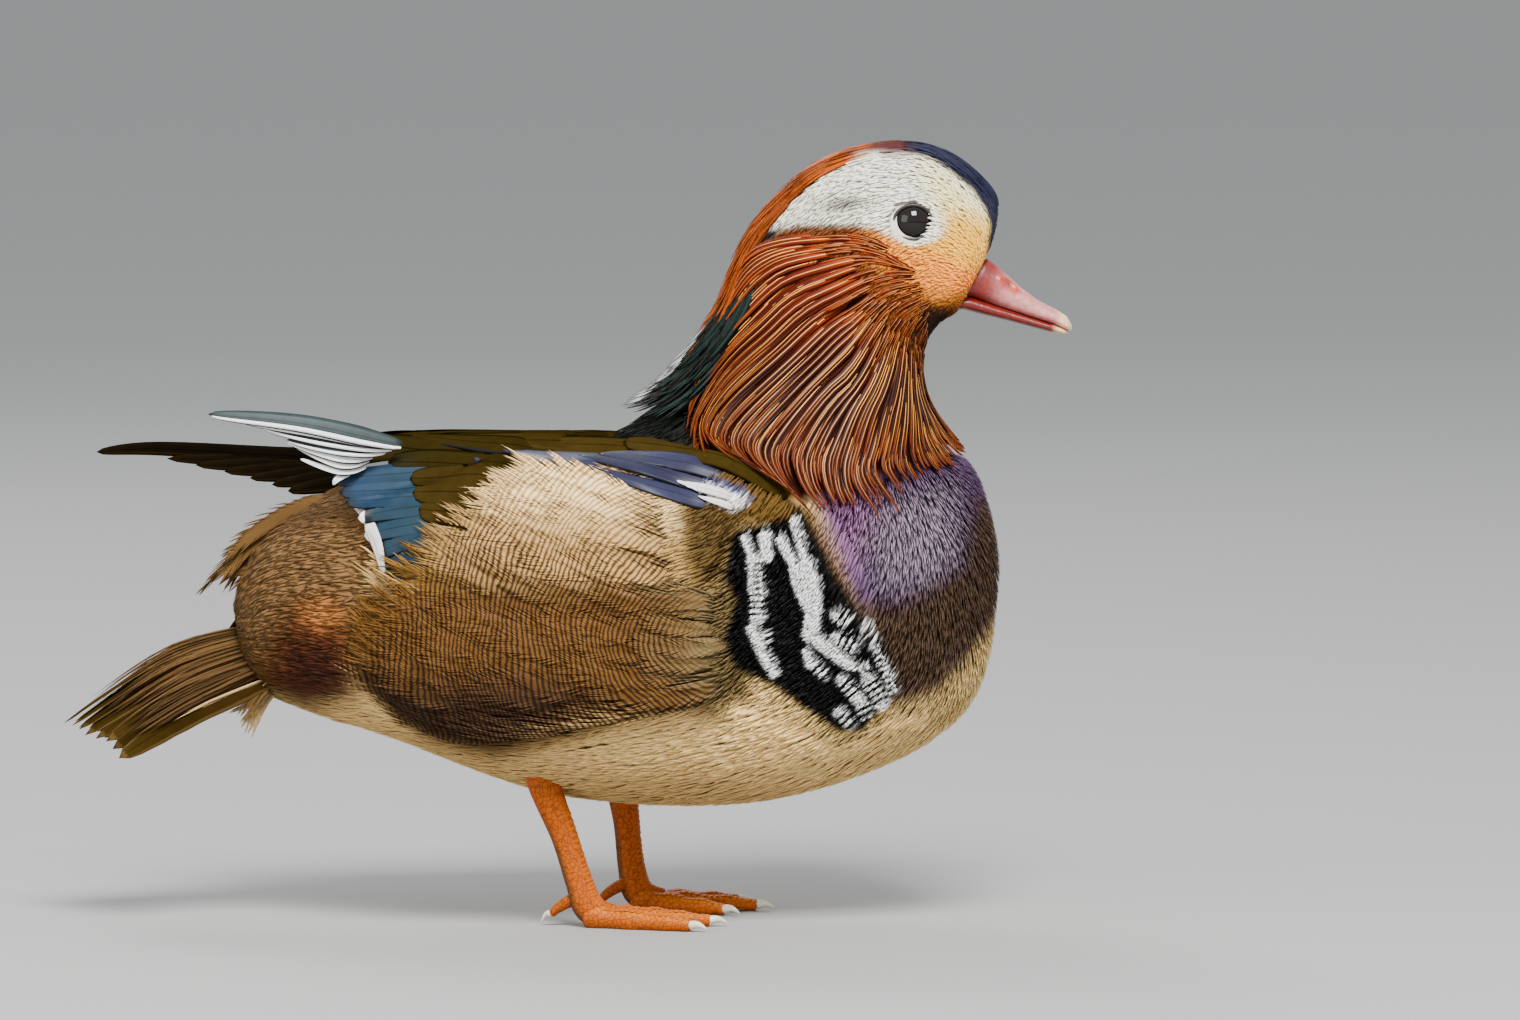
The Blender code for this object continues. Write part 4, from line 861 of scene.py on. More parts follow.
def makeMantle():
    def onMantle(points, t, angle):
        x, z = sideView(points)
        return (t > 5.6) & (x < 40.0) & (within(upperOutline, x, z, 1.0) > 0.5) & (ruffShare(x, z) < 0.7) & \
            (within(flankArea, x, z, 2.0) < 0.6) & (edgeDistance(speculumArea, x, z) > 0)

    def onShoulder(points, t, angle):
        x, z = sideView(points)
        clear = (edgeDistance(blackArea, x, z) > 0.8) & (edgeDistance(flankArea, x, z) > -3.0)
        return (x > 24.0) & clear & (within(shoulderArea, x, z, 1.0) > 0.5) & (ruffShare(x, z) < 0.7)

    contourVanes("mantleFeathers", onMantle, 4.6, 16.0, 3.6, materials["mantle"], lift=0.2,
                 span=(5.6, 13.0), vary=0.04, below=(flankArea, blackArea))
    coatPatch("shoulderFeathers", onShoulder, 1.15, 7.5, 0.62, materials["down"], rise=(0.7, 0.9),
              turnSpread=0.10, places=4, rootShade=0.97, tipLight=1.03, vary=0.05, thick=0.2, sink=0.6, span=(5.0, 9.5))


def makeBack():
    places = 12
    share = np.linspace(0, 1, places)
    row, across = (v.ravel() for v in np.meshgrid(np.arange(back["rows"]), np.arange(back["across"])))
    count = len(row)
    long = back["length"] * chance.uniform(0.85, 1.1, count)
    x = -45.0 + 4.4 * row + 2.2 * (across % 2) + chance.uniform(-2.0, 2.0, count)
    y = (across - (back["across"] - 1) / 2) * 8.2 + chance.uniform(-2.4, 2.4, count)
    spots, normals = backPlace(x[:, None] - long[:, None] * share, y[:, None] * (1 - 0.12 * share))
    lifts = (-2.0 + 2.6 * smoothStep(0.0, 0.5, share))[None] + chance.uniform(-0.2, 0.2, count)[:, None]
    widths = back["halfWidth"] * paddle(share, 0.4, 2.4) * chance.uniform(0.9, 1.1, count)[:, None]
    tone = np.clip(1 + chance.normal(0, 0.10, count), 0.7, 1.3)

    def shade(points):
        return np.broadcast_to(np.array(tint["olive"]), points.shape) * tone[:, None, None] * 0.62

    thing = vanePiece("backFeathers", spots + normals * lifts[..., None], normals, widths, None, materials["mantle"],
                      thick=0.25, camber=0.08, ragged=0.03, colourAt=shade)


# The ruff's flow: rows from the nape side round to the throat, each a path of stations and degrees
ruffFlow = np.array([
    ((2.99, 17), (3.49, 33), (3.89, 52), (4.22, 70), (4.46, 76), (4.71, 80)),
    ((2.95, 8), (3.63, 26), (4.21, 46), (4.74, 62), (5.26, 68), (5.72, 59)),
    ((2.92, 1), (3.76, 14), (4.66, 36), (5.35, 50), (5.93, 50), (6.45, 42)),
    ((2.95, -6), (3.91, 5), (4.97, 26), (5.75, 38), (6.29, 36), (6.46, 23)),
    ((2.96, -13), (4.10, -2), (5.23, 16), (5.96, 24), (6.36, 22), (6.71, 8)),
    ((2.95, -20), (4.12, -12), (5.28, 5), (6.02, 11), (6.45, 9), (6.86, 0)),
    ((2.88, -28), (4.05, -22), (5.23, -6), (6.00, -1), (6.42, -2), (6.64, -5)),
    ((2.82, -36), (3.95, -35), (5.12, -20), (5.80, -14), (6.15, -13), (6.48, -20)),
    ((2.66, -47), (3.69, -50), (4.87, -38), (5.56, -30), (5.88, -29), (6.06, -32)),
    ((2.60, -62), (3.40, -66), (4.50, -60), (5.10, -55), (5.45, -54), (5.65, -55)),
    ((2.60, -80), (3.20, -84), (4.10, -84), (4.70, -84), (5.05, -84), (5.30, -84)),
], float)
ruff = dict(
    count=200, halfWidth=1.35, thick=0.4, tiers=0.46, lift=2.2, dashes=230,
    chestnut=(0.040, 0.004, 0.001), middle=(0.032, 0.003, 0.001), orange=(0.16, 0.020, 0.001),
    cream=(0.88, 0.42, 0.10), gold=(0.56, 0.185, 0.014), brightTip=(0.30, 0.062, 0.002),
)


def flowPath(g, s):                  # a place in the ruff's flow: g across its rows, s along them
    rowsAt = curve(ruffFlow.reshape(len(ruffFlow), -1), g).reshape(g.shape + ruffFlow.shape[1:])
    last = ruffFlow.shape[1] - 1
    u = np.clip(s, 0, 1.0) * last
    i = np.minimum(u.astype(int), last - 1)
    f = (u - i)[..., None]

    def near(k):
        return np.take_along_axis(rowsAt, np.clip(i + k, 0, last)[:, :, None].repeat(2, 2), 1)

    a, b, c, d = near(-1), near(0), near(1), near(2)
    at = b + 0.5 * f * (c - a + f * (2 * a - 5 * b + 4 * c - d + f * (3 * (b - c) + d - a)))
    over = np.maximum(s - 1.0, 0)[..., None] * (rowsAt[:, -1] - rowsAt[:, -2])[:, None, :] * last
    before = np.minimum(s, 0)[..., None] * (rowsAt[:, 1] - rowsAt[:, 0])[:, None, :] * last
    return at + over + before


def ruffMaterial():
    material, nodes, links, shader = newMaterial("ruffHackles", 0.45, Specular_IOR_Level=0.10)
    flat = nodes.new("ShaderNodeUVMap")
    flat.uv_map = "vane"
    split = nodes.new("ShaderNodeSeparateXYZ")
    links.new(flat.outputs[0], split.inputs[0])
    off = maths(nodes, links, "ABSOLUTE", maths(nodes, links, "SUBTRACT", split.outputs[0], 0.5))
    base = ramp(nodes, links, split.outputs[1], ((0.0, ruff["orange"]), (0.3, ruff["chestnut"]),
        (0.6, ruff["middle"]), (0.95, ruff["orange"])))
    streak = ramp(nodes, links, split.outputs[1], ((0.0, ruff["cream"]), (0.62, ruff["gold"]),
        (1.0, ruff["brightTip"])))
    shaft = ramp(nodes, links, off, ((0.030, 1.0), (0.065, 0.0)))
    fade = ramp(nodes, links, split.outputs[1], ((0.02, 0.25), (0.16, 1.0), (0.70, 0.9), (0.95, 0.25)))
    edge = ramp(nodes, links, off, ((0.36, 0.0), (0.46, 1.0)))
    edgeFade = ramp(nodes, links, split.outputs[1], ((0.45, 0.0), (0.9, 0.5)))
    tone = node(nodes, "Attribute", attribute_name="tint").outputs["Color"]
    ground = mixed(nodes, links, "MULTIPLY", 1.0, base, tone)
    colour = mixed(nodes, links, "MIX", maths(nodes, links, "MULTIPLY", edge, edgeFade), ground, ruff["brightTip"])
    colour = mixed(nodes, links, "MIX", maths(nodes, links, "MULTIPLY", shaft, fade), colour, streak)
    links.new(colour, shader.inputs["Base Color"])
    return material


def hackles(g, start, finish, halfWidth, places, rise, side):
    # paths along the ruff's flow, for one side of the neck
    share = np.linspace(0, 1, places)
    s = start[:, None] + (finish - start)[:, None] * share[None]
    at = flowPath(np.clip(g, 0, len(ruffFlow) - 1), s)
    angle = np.radians(at[..., 1])
    angle = angle if side == leftSide else math.pi - angle
    normals = unit(grid(outerNormals, at[..., 0], angle))
    paths = grid(outer, at[..., 0], angle) + normals * (rise(share) + chance.uniform(-0.3, 0.3, (len(g), 1)))[..., None]
    widths = halfWidth * lancet(share, 0.28, 1.5) * chance.uniform(0.8, 1.15, len(g))[:, None]
    tone = np.clip(1 + chance.normal(0, 0.13, (len(g), 1)), 0.6, 1.4) * (0.45 + 1.75 * smoothStep(168.0, 208.0, paths[..., 2]))
    tone = tone[..., None].repeat(3, 2)
    return paths, normals, widths, tone


def ruffRise(share):                 # how high a hackle stands, from its root to its tip
    return -3.0 + 3.0 * smoothStep(0.0, 0.16, share) + ruff["lift"] * share ** 1.2


def dashRise(share):
    return -1.2 + 1.6 * smoothStep(0.0, 0.4, share)


def makeRuff():
    look = ruffMaterial()
    rows = []
    for side in (rightSide, leftSide):
        count = ruff["count"]
        g = (np.arange(count) + chance.uniform(-0.4, 0.4, count)) / count * (len(ruffFlow) - 1)
        tier = chance.permutation(count) / count
        start = ruff["tiers"] * tier
        short = 0.60 + 0.55 * tier + chance.uniform(0, 0.1, count)
        finish = np.where(tier > 0.5, 1.0 + chance.uniform(-0.12, 0.04, count) + 0.10 * (chance.uniform(0, 1, count) < 0.2), short)
        rows.append(hackles(g, start, finish, ruff["halfWidth"], 15, ruffRise, side))
    thing = vanePiece("ruffHackles", *(np.concatenate(part) for part in zip(*rows)), look, thick=ruff["thick"], camber=0.20)
    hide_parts("crest")
    rows = []
    for side in (rightSide, leftSide):
        count = ruff["dashes"]
        g = chance.uniform(0, 1, count) * (len(ruffFlow) - 1)
        start = chance.uniform(-0.20, 0.10, count)
        finish = start + chance.uniform(0.13, 0.24, count)
        rows.append(hackles(g, start, finish, 0.62, 8, dashRise, side))
    thing = vanePiece("cheekHackles", *(np.concatenate(part) for part in zip(*rows)), look, thick=0.3, camber=0.30)


plumes = dict(crown=420, nape=420, halfWidth=0.95)


def makeCrest():
    def group(name, count, first, last, halfAngle, length, liftEnd, halfWidth, edgeWhite=False, hue=None):
        places = 10
        share = np.linspace(0, 1, places)
        t = chance.uniform(first, last, count)
        lean = chance.uniform(-1, 1, count)
        angle = math.pi / 2 + np.radians(halfAngle) * lean
        long = (length[0] + (length[1] - length[0]) * (t - first) / (last - first)) * chance.uniform(0.85, 1.15, count)
        ts, angles = walk(t, angle, chance.normal(0, 0.05, count) - 0.06 * lean, long, places - 1)
        normals = unit(grid(outerNormals, ts, angles))
        top = 1 - np.abs(lean) ** 2
        reach = (t - first) / (last - first)
        rise = -1.2 + 1.2 * smoothStep(0, 0.2, share)[None] + (liftEnd[0] + (liftEnd[1] - liftEnd[0]) * reach * top)[:, None] * share ** 1.3
        rise = rise + chance.uniform(-0.3, 0.6, count)[:, None] * share
        paths = grid(outer, ts, angles) + normals * rise[..., None]
        widths = halfWidth * lancet(share, 0.2, 1.7) * chance.uniform(0.8, 1.2, count)[:, None]
        colours = plumage(paths) * (1 + chance.normal(0, 0.12, count))[:, None, None]
        if hue is not None:
            shine = chance.uniform(0.30, 1.0, count)[:, None, None] * (0.7 + 0.3 * share[None, :, None])
            orange = np.broadcast_to(np.array(tint[hue]), colours.shape) * shine
            rear = smoothStep(98.0, 88.0, paths[..., :1])
            colours = colours * (1 - rear) + orange * rear
        if edgeWhite:
            mark = (np.abs(lean) < 0.22)[:, None] * smoothStep(0.2, 0.5, share) * smoothStep(1.0, 0.75, share)
            sheen = (chance.uniform(0, 1, count) > 0.7)[:, None] * np.ones(places)
            colours = np.broadcast_to(np.array(tint["plume"]), colours.shape) * (1 - sheen[..., None]) + \
                np.array((0.008, 0.020, 0.016)) * sheen[..., None]
            colours = colours * (1 - mark[..., None]) + np.array((0.50, 0.50, 0.48)) * mark[..., None]
        thing = tuftPiece(name, t, angle, paths, normals, widths, 0.7, np.clip(colours, 0.001, 1), materials["crest"])

    group("napePlumes", plumes["nape"], 4.2, 5.7, 36, (34.0, 20.0), (3.0, 7.0), 1.25, True)
    group("crestPlumes", plumes["crown"], 2.0, 4.6, 24, (26.0, 30.0),
        (1.2, 4.2), plumes["halfWidth"], hue="crest")
    group("crownFeathers", plumes["crown"], 0.75, 2.4, 30, (9.0, 18.0), (0.1, 0.6), 0.55)


def barbedFeathers(name, t, angle, paths, normals, halfWidths, material, barbCount, coreShare=0.62, barsAt=None,
                   colourAt=plumage, tone=None, replaces=(), alongShade=None):
    # each feather is a vane with loose barbs along both edges, all in one mesh
    count, places = paths.shape[:2]
    along, across, up = frames(paths, normals)
    points, rings = vaneShape(paths, normals, halfWidths * coreShare, 0.25, 0.1, 0.05)
    quads, tris = ringFaces(count, rings, 8)
    share = np.repeat(np.linspace(0, 1, places)[:rings], 8)
    vaneUv = np.tile(np.stack([np.concatenate([np.tile((0, .22, .5, .78, 1, .78, .22, .5), rings), [0.5]]),
                               np.concatenate([share, [1.0]])], -1), (count, 1))
    bake = patchMap(t, angle, vaneUv[:, 0].reshape(count, -1), vaneUv[:, 1].reshape(count, -1), 0.006)
    start = np.linspace(0.06, 0.97, barbCount)
    barbPaths, barbNormals, owners = [], [], []
    for side in (-1.0, 1.0):
        s = np.clip(start[None] + chance.uniform(-0.012, 0.012, (count, barbCount)), 0, 1) * (places - 1)
        i = np.minimum(s.astype(int), places - 2)
        f = (s - i)[..., None]
        k = np.arange(count)[:, None]

        def at(field):
            return field[k, i] * (1 - f) + field[k, i + 1] * f

        foot, ahead, out, above = at(paths), unit(at(along)), unit(at(across)), unit(at(up))
        wide = (halfWidths[k, i] * (1 - f[..., 0]) + halfWidths[k, i + 1] * f[..., 0])
        wide = np.maximum(wide, 0.25 * halfWidths.max()) * chance.uniform(0.85, 1.2, (count, barbCount))
        slant = np.radians(48.0 - 32.0 * start)[None] + chance.normal(0, 0.06, (count, barbCount))
        barb = wide / np.sin(np.maximum(slant, 0.35))
        steps = []
        for q in (0.0, 0.4, 0.75, 1.0):
            reach = barb * q
            sweep = slant * (1 - 0.35 * q)
            spot = foot + ahead * (reach * np.cos(sweep))[..., None] + out * (side * reach * np.sin(sweep))[..., None]
            drop = (reach * np.sin(sweep)) ** 2 / 90.0 - 0.12 * (1 - q)
            steps.append(spot - above * drop[..., None])
        barbPaths.append(np.stack(steps, 2).reshape(-1, 4, 3))
        barbNormals.append(np.repeat(above.reshape(-1, 1, 3), 4, 1))
        owners.append(np.repeat(np.arange(count), barbCount))
    barbPaths, barbNormals, owners = (np.concatenate(v) for v in (barbPaths, barbNormals, owners))
    number = len(barbPaths)
    _, barbAcross, barbUp = frames(barbPaths, barbNormals)
    thin = np.array((0.42, 0.36, 0.26, 0.0))[None, :, None]
    ring = np.stack([barbPaths - barbAcross * thin, barbPaths + barbUp * thin * 0.7, barbPaths + barbAcross * thin], 2)[:, :3]
    barbPoints = np.concatenate([ring.reshape(number, -1, 3), barbPaths[:, -1:]], 1)
    barbQuads, barbTris = ringFaces(number, 3, 3)
    tag = np.concatenate([np.tile((0, 0.5, 1), 3), [0.5]])
    tagAlong = np.concatenate([np.repeat((0, 0.4, 0.75), 3), [1.0]])
    barbBake = patchMap(t[owners], angle[owners], np.tile(tag, (number, 1)), np.tile(tagAlong, (number, 1)))
    base = len(points) * points.shape[1]
    flatPoints = np.concatenate([points.reshape(-1, 3), barbPoints.reshape(-1, 3)])
    roots = paths[:, 0][np.concatenate([np.repeat(np.arange(count), points.shape[1]), np.repeat(owners, 10)])]
    shades = colourAt(flatPoints * 0.45 + roots * 0.55)
    # painted shade and light: each feather is darker towards its root, where the feather in front covers it, and
    # lighter at its tip and along its loose barbs
    if alongShade is not None:
        fade = np.interp(np.concatenate([share, [1.0]]), (0, 0.5, 1), alongShade)
        shades = shades * np.concatenate([np.tile(fade, count), np.full(number * 10, alongShade[2])])[:, None]
    if tone is not None:
        shades = shades * np.concatenate([np.repeat(tone, points.shape[1]), np.repeat(tone[owners], 10)])[:, None]
    vaneUv = np.concatenate([vaneUv, np.tile(np.stack([tag * 0.1 + 0.7, tagAlong], -1), (number, 1))])
    thing = meshPiece(name, flatPoints, np.concatenate([quads, barbQuads + base]), np.concatenate([tris, barbTris + base]),
                      material, np.clip(shades, 0.001, 1), np.concatenate([bake.reshape(-1, 2), barbBake.reshape(-1, 2)]), vaneUv)
    if barsAt is not None:
        setBars(thing, barsAt(*sideView(flatPoints)))
    if replaces:
        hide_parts(*replaces)
    print("   ", name, count, "feathers,", number, "barbs")
    return thing


def barStrength(x, z):
    strong = 1 - smoothStep(-1.0, 9.0, edgeDistance(flankArea, x, z))
    top = within(((-29, 130), (-6, 143), (24, 141), (39, 130), (39, 117), (-1, 117)), x, z, 8.0)
    root = np.hypot(x - 46.0, (z - 90.0) * 0.8)
    return strong * (0.95 - 0.32 * top) * (0.35 + 0.65 * smoothStep(5.0, 18.0, root))


def makeFlanks():
    t, angle = spread(flank["spacing"], 6.5, 12.0)
    points = grid(outer, t, angle)
    x, z = sideView(points)
    inside = within(flankArea, x, z, 0.5) > 0.5
    rootsIn = ((47, 99), (39, 117), (28, 130), (11, 133), (-1, 130), (-13, 121), (-26, 112), (-35, 99),
        (-41, 84), (-38, 71), (-26, 64), (-1, 65), (30, 68), (53, 71), (56, 87), (55, 99))
    inside &= within(rootsIn, x, z, 0.5) > 0.5

    def flankColour(places):             # the front edge takes its colour from a little further back
        return plumage(places - smoothStep(24.0, 52.0, places[..., :1]) * np.array((9.0, 0.0, 0.0)))

    for side, word, test in ((rightSide, "Right", np.cos(angle) < 0), (leftSide, "Left", np.cos(angle) > 0)):
        keep = inside & test
        tt, aa = t[keep], angle[keep]
        count, places = len(tt), 9
        far = np.hypot(x[keep] - flank["centre"][0], z[keep] - flank["centre"][1])
        long = flank["length"] * (0.62 + 0.38 * smoothStep(5.0, 40.0, far)) * chance.uniform(0.9, 1.12, count)
        ts, angles = walk(tt, aa, chance.normal(0, 0.10, count), long, places - 1, aim=fanOut)
        share = np.linspace(0, 1, places)
        normals = unit(grid(outerNormals, ts, angles))
        lifts = (-1.2 + 1.9 * smoothStep(0, 0.4, share) + 0.8 * share)[None] + chance.uniform(-0.3, 0.3, count)[:, None]
        paths = grid(outer, ts, angles) + normals * lifts[..., None]
        widths = flank["halfWidth"] * paddle(share) * chance.uniform(0.9, 1.1, count)[:, None] * (0.7 + 0.3 * smoothStep(5.0, 40.0, far))[:, None]
        barbedFeathers("flank" + word, tt, aa, paths, normals, widths, materials["flank"], flank["barbs"],
                       barsAt=barStrength, tone=1 + chance.normal(0, 0.05, count), alongShade=(0.72, 0.92, 1.08), colourAt=flankColour, replaces=("flank_" + word.lower(),))

    def onFringe(points, t, angle):
        x, z = sideView(points)
        edge = edgeDistance(flankArea, x, z)
        return (edge < -1.0) & (edge > -16.0) & (edgeDistance(blackArea, x, z) > 3.0)

    coatPatch("flankFringe", onFringe, flank["fringeSpacing"], flank["fringeLength"], 0.34, materials["flank"],
              rise=(0.6, 1.6), turnSpread=0.12, places=5, rootShade=0.9, tipLight=1.08, aim=fanOut, sink=1.0, span=(6.5, 12.5),
              oneColour=True, bars=barStrength)


def markedMaterial(name, alongStops, marks, roughness=0.42, barbs=0.22, barbCount=46.0):
    # a vane's colours from root to tip, and marks along its edges, its shaft or its tip
    material, nodes, links, shader = newMaterial(name, roughness, Specular_IOR_Level=0.14 if roughness < 0.45 else 0.0)
    flat = nodes.new("ShaderNodeUVMap")
    flat.uv_map = "vane"
    split = nodes.new("ShaderNodeSeparateXYZ")
    links.new(flat.outputs[0], split.inputs[0])
    off = maths(nodes, links, "ABSOLUTE", maths(nodes, links, "SUBTRACT", split.outputs[0], 0.5))
    axes = dict(across=split.outputs[0], along=split.outputs[1], off=off)
    colour = ramp(nodes, links, axes["along"], alongStops)
    place = node(nodes, "TexCoord").outputs["Object"]
    noise = node(nodes, "TexNoise", Scale=260.0, Detail=3.0)
    links.new(place, noise.inputs["Vector"])
    colour = mixed(nodes, links, "MULTIPLY", 1.0, colour, ramp(nodes, links, noise.outputs["Fac"], ((0.3, 0.78), (0.7, 1.0))))
    for axis, stops, shade in marks:
        colour = mixed(nodes, links, "MIX", ramp(nodes, links, axes[axis], stops), colour, shade)
    slant = maths(nodes, links, "SUBTRACT", split.outputs[1], maths(nodes, links, "MULTIPLY", off, 0.30))
    wave = maths(nodes, links, "SINE", maths(nodes, links, "MULTIPLY", slant, barbCount * 2 * math.pi))
    colour = mixed(nodes, links, "MULTIPLY", 1.0, colour, ramp(nodes, links, wave, ((0.0, 1.0),
        (0.7, 1.0), (1.0, 1.0 - barbs))))
    shaft = ramp(nodes, links, off, ((0.012, 1.0), (0.03, 0.0)))
    colour = mixed(nodes, links, "MIX", shaft, colour, mixed(nodes, links, "MULTIPLY", 1.0, colour, (0.45, 0.42, 0.40)))
    tone = node(nodes, "Attribute", attribute_name="tint").outputs["Color"]
    links.new(mixed(nodes, links, "MULTIPLY", 1.0, colour, tone), shader.inputs["Base Color"])
    return material


ink = (0.010, 0.010, 0.012)
wingLooks = dict(
    speculum=(((0.0, (0.010, 0.026, 0.038)), (0.55, (0.011, 0.034, 0.056)), (0.86, (0.013, 0.035, 0.072)),
        (0.97, (0.017, 0.020, 0.022))),
              (("across", ((0.045, 1.0), (0.075, 0.0)), ink),), 0.34),
    whiteTip=(((0.0, (0.010, 0.027, 0.038)), (0.60, (0.011, 0.032, 0.048)), (0.86, (0.010, 0.028, 0.045))),
              (("across", ((0.05, 1.0), (0.09, 0.0)), ink), ("along", ((0.84, 0.0), (0.86, 1.0)), ink),
               ("along", ((0.90, 0.0), (0.915, 1.0)), (0.92, 0.92, 0.92))), 0.4),
    tertial=(((0.0, (0.018, 0.012, 0.002)), (0.7, (0.020, 0.014, 0.003)), (1.0, (0.015, 0.014, 0.007))),
             (("across", ((0.03, 1.0), (0.06, 0.0)), (0.02, 0.015, 0.006)),), 0.45),
    edged=(((0.0, (0.018, 0.012, 0.002)), (1.0, (0.021, 0.014, 0.003))),
           (("across", ((0.10, 1.0), (0.16, 0.0)), ink),), 0.5),
    blueBar=(((0.0, (0.017, 0.018, 0.040)), (0.6, (0.022, 0.023, 0.052)), (1.0, (0.014, 0.014, 0.032))),
             (("across", ((0.07, 1.0), (0.12, 0.0)), ink),), 0.38),
    whiteBar=(((0.0, (0.62, 0.55, 0.45)), (1.0, (0.85, 0.84, 0.84))), (), 0.5),
    covert=(((0.0, (0.028, 0.017, 0.003)), (1.0, (0.034, 0.022, 0.005))), (("off", ((0.44, 0.0),
        (0.5, 1.0)), (0.024, 0.016, 0.005)),), 0.5),
    raised=(((0.0, (0.026, 0.037, 0.037)), (0.5, (0.036, 0.053, 0.054)), (1.0, (0.030, 0.042, 0.041))),
            (("across", ((0.34, 1.0), (0.38, 0.0)), ink), ("across", ((0.30, 1.0), (0.33, 0.0)),
                (0.88, 0.88, 0.86)),
             ("across", ((0.05, 1.0), (0.09, 0.0)), ink)), 0.42),
    raisedLow=(((0.0, (0.80, 0.80, 0.78)), (1.0, (0.86, 0.86, 0.84))),
               (("across", ((0.14, 1.0), (0.20, 0.0)), ink),), 0.5),
    # painted shade: the far wing's primaries are coloured near black, for the shade they lie in
    dark=(((0.0, (0.004, 0.003, 0.002)), (0.7, (0.006, 0.004, 0.002)), (1.0, (0.012, 0.007, 0.003))),
          (("across", ((0.18, 1.0), (0.30, 0.0)), (0.022, 0.013, 0.003)),), 0.6),
)
# Each feather of the folded wing: its look, half its width, its height over the surface, and root to tip
wingFeathers = (
    ("whiteTip", 3.0, 2.0, ((-35, 109), (-43, 109), (-52, 104))), ("whiteTip", 3.2, 2.2, ((-33, 114),
        (-41, 114), (-54, 109))),
    ("whiteTip", 3.4, 2.4, ((-33, 118), (-41, 118), (-56, 114))), ("whiteTip", 3.4, 2.5, ((-33, 123),
        (-43, 122), (-59, 119))),
    ("whiteTip", 3.2, 2.6, ((-33, 127), (-43, 127), (-62, 124))), ("speculum", 3.4, 2.7, ((-33, 130),
        (-43, 130), (-66, 129))),
    ("speculum", 3.6, 2.7, ((-33, 134), (-43, 133), (-68, 132))), ("speculum", 4.2, 2.6, ((-33, 138),
        (-44, 138), (-70, 136))),
    ("covert", 3.6, 1.2, ((-30, 113), (-35, 113), (-40, 114))), ("covert", 4.2, 1.8, ((-28, 119),
        (-34, 119), (-41, 120))),
    ("covert", 4.6, 2.9, ((-23, 125), (-31, 125), (-43, 126))), ("covert", 4.6, 3.1, ((-18, 131),
        (-29, 131), (-45, 131))),
    ("covert", 4.4, 3.2, ((-13, 136), (-29, 136), (-46, 136))), ("tertial", 3.4, 2.7, ((-1, 140),
        (-20, 140), (-38, 141), (-53, 141))),
    ("covert", 3.0, 0.5, ((39, 144), (24, 146), (5, 147), (-13, 147))), ("covert", 3.0, 0.7, ((11, 147),
        (-1, 148), (-20, 148), (-35, 148))),
    ("tertial", 4.4, 1.8, ((-1, 143), (-38, 144), (-57, 145), (-71, 142))), ("edged", 2.8, 1.6, ((2, 146),
        (-13, 146), (-29, 147), (-48, 149))),
    ("blueBar", 1.5, 2.6, ((-17, 143), (-27, 141), (-36, 140))), ("covert", 3.6, 1.5, ((70, 133),
        (52, 142), (36, 145), (19, 147))),
    ("blueBar", 2.6, 1.2, ((60, 128), (42, 130), (27, 134), (9, 140))), ("blueBar", 3.2, 1.5, ((60, 131),
        (39, 136), (24, 140), (5, 143))),
    ("blueBar", 2.8, 1.8, ((60, 134), (42, 140), (27, 142), (11, 143))), ("blueBar", 2.8, 1.4, ((27, 142),
        (11, 141), (-4, 142), (-19, 145))),
    ("whiteBar", 1.5, 2.1, ((57, 130), (45, 133), (35, 135))), ("whiteBar", 1.0, 1.9, ((55, 127),
        (49, 129), (42, 131))),
    ("whiteBar", 1.5, 3.0, ((-64, 130), (-59, 124), (-55, 117), (-53, 110), (-52, 103))),
)
raisedFeathers = (                   # on the right side, from the wrist to the tip of each blade
    ("raisedLow", 1.3, (-38, -34, 146), ((-63, 144), (-68, 142), (-70, 140))),
        ("raisedLow", 1.3, (-38, -34, 147), ((-60, 145), (-68, 144), (-80, 148))),
    ("raisedLow", 1.3, (-38, -34, 148), ((-59, 147), (-68, 146), (-82, 152))),
        ("raisedLow", 1.3, (-38, -34, 149), ((-58, 148), (-68, 148), (-84, 153))),
    ("raised", 2.2, (-38, -34, 150), ((-54, 150), (-68, 151), (-84, 154))),
        ("raised", 2.5, (-38, -34, 150), ((-52, 151), (-72, 154), (-92, 158))),
    ("raised", 2.8, (-38, -34, 151), ((-51, 152), (-75, 157), (-98, 160))),
        ("raised", 3.2, (-38, -34, 151), ((-49, 152), (-79, 159), (-108, 162))),
)
# painted shade: the far wing's feathers are coloured near black, for the shade they lie in
shadedFarFeathers = (                     # on the left side
    ("dark", 3.4, (-34, 30, 138), ((-51, 135), (-68, 132), (-87, 129))), ("dark", 3.2, (-34, 30, 139),
        ((-51, 136), (-69, 134), (-92, 131))),
    ("dark", 3.2, (-34, 30, 140), ((-51, 137), (-72, 135), (-99, 133))), ("dark", 3.2, (-34, 30, 141),
        ((-51, 137), (-75, 136), (-107, 135))),
    ("dark", 3.2, (-34, 30, 142), ((-51, 138), (-79, 137), (-116, 137))), ("dark", 3.0, (-34, 30, 142),
        ((-51, 139), (-82, 138), (-125, 139))),
    ("dark", 2.8, (-34, 30, 143), ((-51, 139), (-88, 140), (-128, 142), (-147, 141))),
)


wrapColumns = (-1.0, -0.72, -0.36, 0.0, 0.36, 0.72, 1.0)
wrapAcross = (0.0, 0.14, 0.32, 0.5, 0.68, 0.86, 1.0, 0.86, 0.68, 0.5, 0.32, 0.14)


